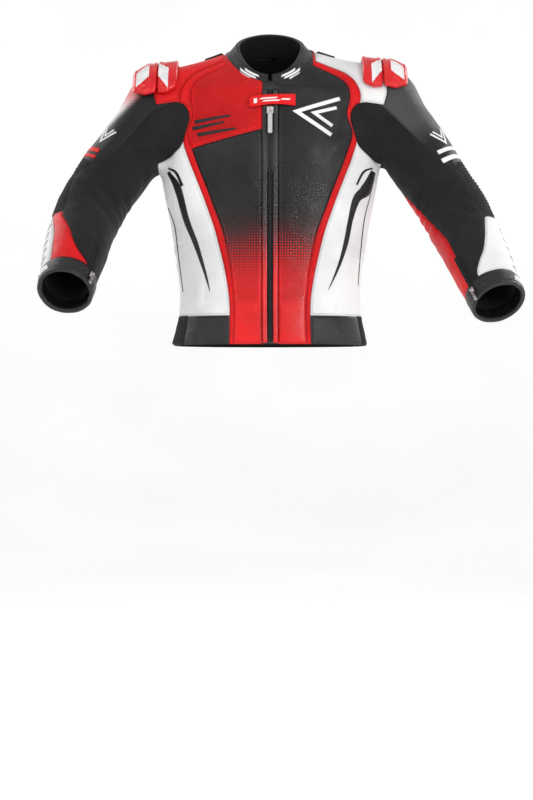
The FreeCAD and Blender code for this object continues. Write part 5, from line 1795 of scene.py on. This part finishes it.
def arm_trims(side, word, made, m):
    """A double chevron and two bars on the upper arm, and a row of outlines on the forearm."""
    rays = arm_rays(side)
    arm = Ground(made[f"sleeve_leather_{word}"], made[f"sleeve_stretch_{word}"])
    for k, (line, width) in enumerate(ARM_CHEVRONS):
        lay(f"arm_chevron_{k + 1}_{word}", mitred(line, width), arm, rays, m["trim_white"],
            "shoulder", side)
    colour = "red" if side < 0 else "white"
    for k, (s, width, end) in enumerate(ARM_BARS[side]):
        line = [(ARM_BAR_START, s + 2), ((ARM_BAR_START + end) / 2, s), (end, s - 1)]
        lay(f"arm_bar_{k + 1}_{word}", ribbon(line, [width] * 3, 24), arm, rays, m[f"trim_{colour}"],
            "shoulder", side)
    forearm = Ground(made[f"forearm_white_{word}"])
    for k in range(5):
        s = MARKS_START + MARK_PITCH * k
        line = [(0, s), (22, s + 9), (33, s + 4), (12, s - 4), (0, s)]
        lay(f"forearm_mark_{k + 1}_{word}", mitred(line, MARK_WIDTH, 6, 3), forearm, rays, m["trim_grey"],
            "elbow", side, 3, 0.4)


COLLAR_BARS = (17, 40, 0.58, 0.74), (20, 46, 0.36, 0.52), (26, 42, 0.14, 0.30)     # degrees, heights


def collar_marks(m):
    """Plain slanted bars on both fronts of the collar."""
    for side, word in SIDES:
        for k, (start, end, low, high) in enumerate(COLLAR_BARS):
            u, v = grid_uv(15, 5)
            degrees = side * (start + (end - start) * u + 3 * (v - 0.5))
            height = low + (high - low) * v
            top, bottom = (collar_point(degrees, height, inwards + 0 * u) for inwards in (-1.9, 0.4))
            obj = grid_shell(f"collar_bar_{k + 1}_{word}", top, bottom, 15, 5, [m["trim_white"]])
            follow(obj, "body")


# ------------------------------------------------------------------ lining
LINING_DEPTH, LINING_STEP, LINING_THICKNESS = 8.0, 9.0, 0.8


def linings(m):
    """The mesh lining inside the body and the sleeves, one piece for each zone."""
    points, faces = surface_mesh(lambda p: jacket_distance(p) + LINING_DEPTH, *SURFACE_BOX, LINING_STEP)
    skin = Skin(points, faces)
    torso, sleeves = skin.split(faces, sleeve_rule)
    _, torso = skin.split(torso, lambda p: p[:, 2] - HEM_Z - 4)
    _, torso = skin.split(torso, neck_rule)
    jobs = [("body_lining", torso, "body", 0)]
    for side, sleeve in SLEEVES.items():
        end = sleeve.total - CUFF_LENGTH + 6
        own, _ = skin.split(skin.half(sleeves, side), lambda p: sleeve.coordinates(p)[0] - end)
        upper, lower = skin.split(own, lambda p: elbow_plane(sleeve, p))
        jobs += [(f"sleeve_lining_{sleeve.word}", upper, "shoulder", side),
                 (f"forearm_lining_{sleeve.word}", lower, "elbow", side)]
    for name, own, zone, side in jobs:
        used, local = np.unique(own, return_inverse=True)
        faces = local.reshape(-1, 3)
        p = skin.points[used]
        out = unit(gradient(jacket_distance, p))
        p = p + out * (0.6 * ripples(p, 60, 51) + 0.3 * ripples(p, 25, 52))[:, None]
        solid, triangles = closed_shell(p, out, faces, LINING_THICKNESS)
        normals = vertex_normals(p, faces)
        obj = make_object(name, solid, triangles, [m["lining"]], None, None, np.vstack([normals, -normals]))
        if zone == "body":
            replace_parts(obj, "lining")
        follow(obj, zone, side)


# ------------------------------------------------------------------ CAD parts, stage, camera, light
CAD_FINISH = {"front_zip_teeth": "teeth", "front_zip_slider": "metal", "front_zip_puller": "metal",
              "neck_tab_hook_pad": "hook", "connection_zip": "tape", "shoulder_protectors": "foam",
              "elbow_protector_*": "foam", "cuff_zip_teeth_*": "teeth", "cuff_zip_slider_*": "metal",
              "cuff_zip_puller_*": "metal"}


def finish_cad_nodes(m):
    """Give the CAD parts that stay in view their materials."""
    for pattern, key in CAD_FINISH.items():
        for name in sorted({pattern.replace("*", word) for _, word in SIDES}):
            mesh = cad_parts[name].data
            if "rest" not in mesh.attributes:
                points = np.empty(len(mesh.vertices) * 3, np.float32)
                mesh.vertices.foreach_get("co", points)
                point_attribute(mesh, "rest", "FLOAT_VECTOR", "vector", points)
            mesh.materials.clear()
            mesh.materials.append(m[key])


CAMERA_AT, CAMERA_LENS = (-0.0065, -3.6, -0.629), 87.1
MIDDLE = (0, 0, -0.28)
LIGHTS = [      # name, place, aim, power, size
    ("key", (-1.7, -2.1, 0.9), MIDDLE, 8, (0.5, 1.5)),
    ("fill", (2.1, -1.9, 0.4), MIDDLE, 4, (0.4, 1.5)),
    ("sheen", (1.66, -2.6, 0.0), (0.08, 0, -0.22), 21, (0.3, 0.55)),
    ("front", (0.4, -2.9, 1.9), MIDDLE, 9, (1.2, 0.4)),
    ("rim_left", (-1.9, 1.5, 0.9), MIDDLE, 16, (0.6, 1.6)),
    ("rim_right", (1.9, 1.5, 0.9), MIDDLE, 16, (0.6, 1.6)),
    ("floor_light", (0, 0, 3.4), (0, 0, -1.3), 50, (5.0, 5.0)),
]
FLOOR_Z = -1.352
SWEEP_RADIUS, SWEEP_CURVE, WALL_HEIGHT = 8.0, 2.0, 9.0


def stage():
    """A pale round sweep: the floor turns up into a wall all round."""
    flat = SWEEP_RADIUS - SWEEP_CURVE
    profile = [(0.02, 0.0), (2.0, 0.0), (flat, 0.0)]
    profile += [(flat + SWEEP_CURVE * math.sin(a), SWEEP_CURVE - SWEEP_CURVE * math.cos(a))
                for a in np.linspace(0.12, math.pi / 2, 12)]
    profile.append((SWEEP_RADIUS, WALL_HEIGHT))
    turns = np.arange(64) / 64 * 2 * math.pi
    points = [(r * math.sin(a), r * math.cos(a), FLOOR_Z + z) for a in turns for r, z in profile]
    paper = Shade("backdrop_paper", Specular_IOR_Level=0.1, Emission_Strength=0.50)
    paper.shader.inputs["Emission Color"].default_value = (1, 1, 1, 1)
    tone = paper.noise(1.4, 3.0)
    paper.finish(paper.mix(paper.step(tone, 0.3, 0.7), (0.60, 0.60, 0.60), (0.64, 0.64, 0.64)), 0.9,
                 paper.bump(paper.noise(420.0, 3.0), 0.0004, 0.2))
    faces = [tuple(f) for f in grid_faces(len(turns), len(profile), True)]
    faces.append(tuple(k * len(profile) for k in reversed(range(len(turns)))))
    make_object("backdrop", np.array(points) / MM, faces, [paper.material])


def light(name, place, aim, power, size):
    data = bpy.data.lights.new(name, "AREA")
    data.energy, data.shape, data.size, data.size_y = power, "RECTANGLE", *size
    obj = bpy.data.objects.new(name, data)
    obj.location = place
    obj.rotation_euler = (Vector(aim) - Vector(place)).to_track_quat("-Z", "Y").to_euler()
    bpy.context.scene.collection.objects.link(obj)


def camera_and_lights():
    data = bpy.data.cameras.new("camera")
    data.sensor_fit, data.sensor_height, data.lens = "VERTICAL", 36.0, CAMERA_LENS
    camera = bpy.data.objects.new("camera", data)
    camera.location = CAMERA_AT
    camera.rotation_euler = (math.pi / 2, 0, 0)
    bpy.context.scene.collection.objects.link(camera)
    bpy.context.scene.camera = camera
    for settings in LIGHTS:
        light(*settings)
    world = bpy.data.worlds.new("studio")
    world.use_nodes = True
    world.node_tree.nodes["Background"].inputs[0].default_value = (1, 1, 1, 1)
    world.node_tree.nodes["Background"].inputs[1].default_value = 0.12
    bpy.context.scene.world = world
    bpy.context.scene.view_settings.view_transform = "Standard"


def build():
    camera_and_lights()
    stage()
    m = make_materials()
    skin, cut = cut_jacket()
    made = make_panels(skin, cut, m)
    linings(m)
    collar(m)
    collar_marks(m)
    hump(m)
    back_stretch(m)
    front_zip(m)
    neck_tab(m)
    for side, word in SIDES:
        waist_stretch(side, word, m)
        elbow_ribs(side, word, m)
        cuff(side, word, m)
        cuff_bars(side, word, m)
        cuff_tape(side, word, m)
        shoulder_pleats(side, word, m)
        for part in ("inner", "outer"):
            shoulder_cup(side, word, part, m)
    for side, word in SIDES:
        side_sweeps(side, word, made, m)
        arm_trims(side, word, made, m)
    chest_trims(made, m)
    finish_cad_nodes(m)


build()
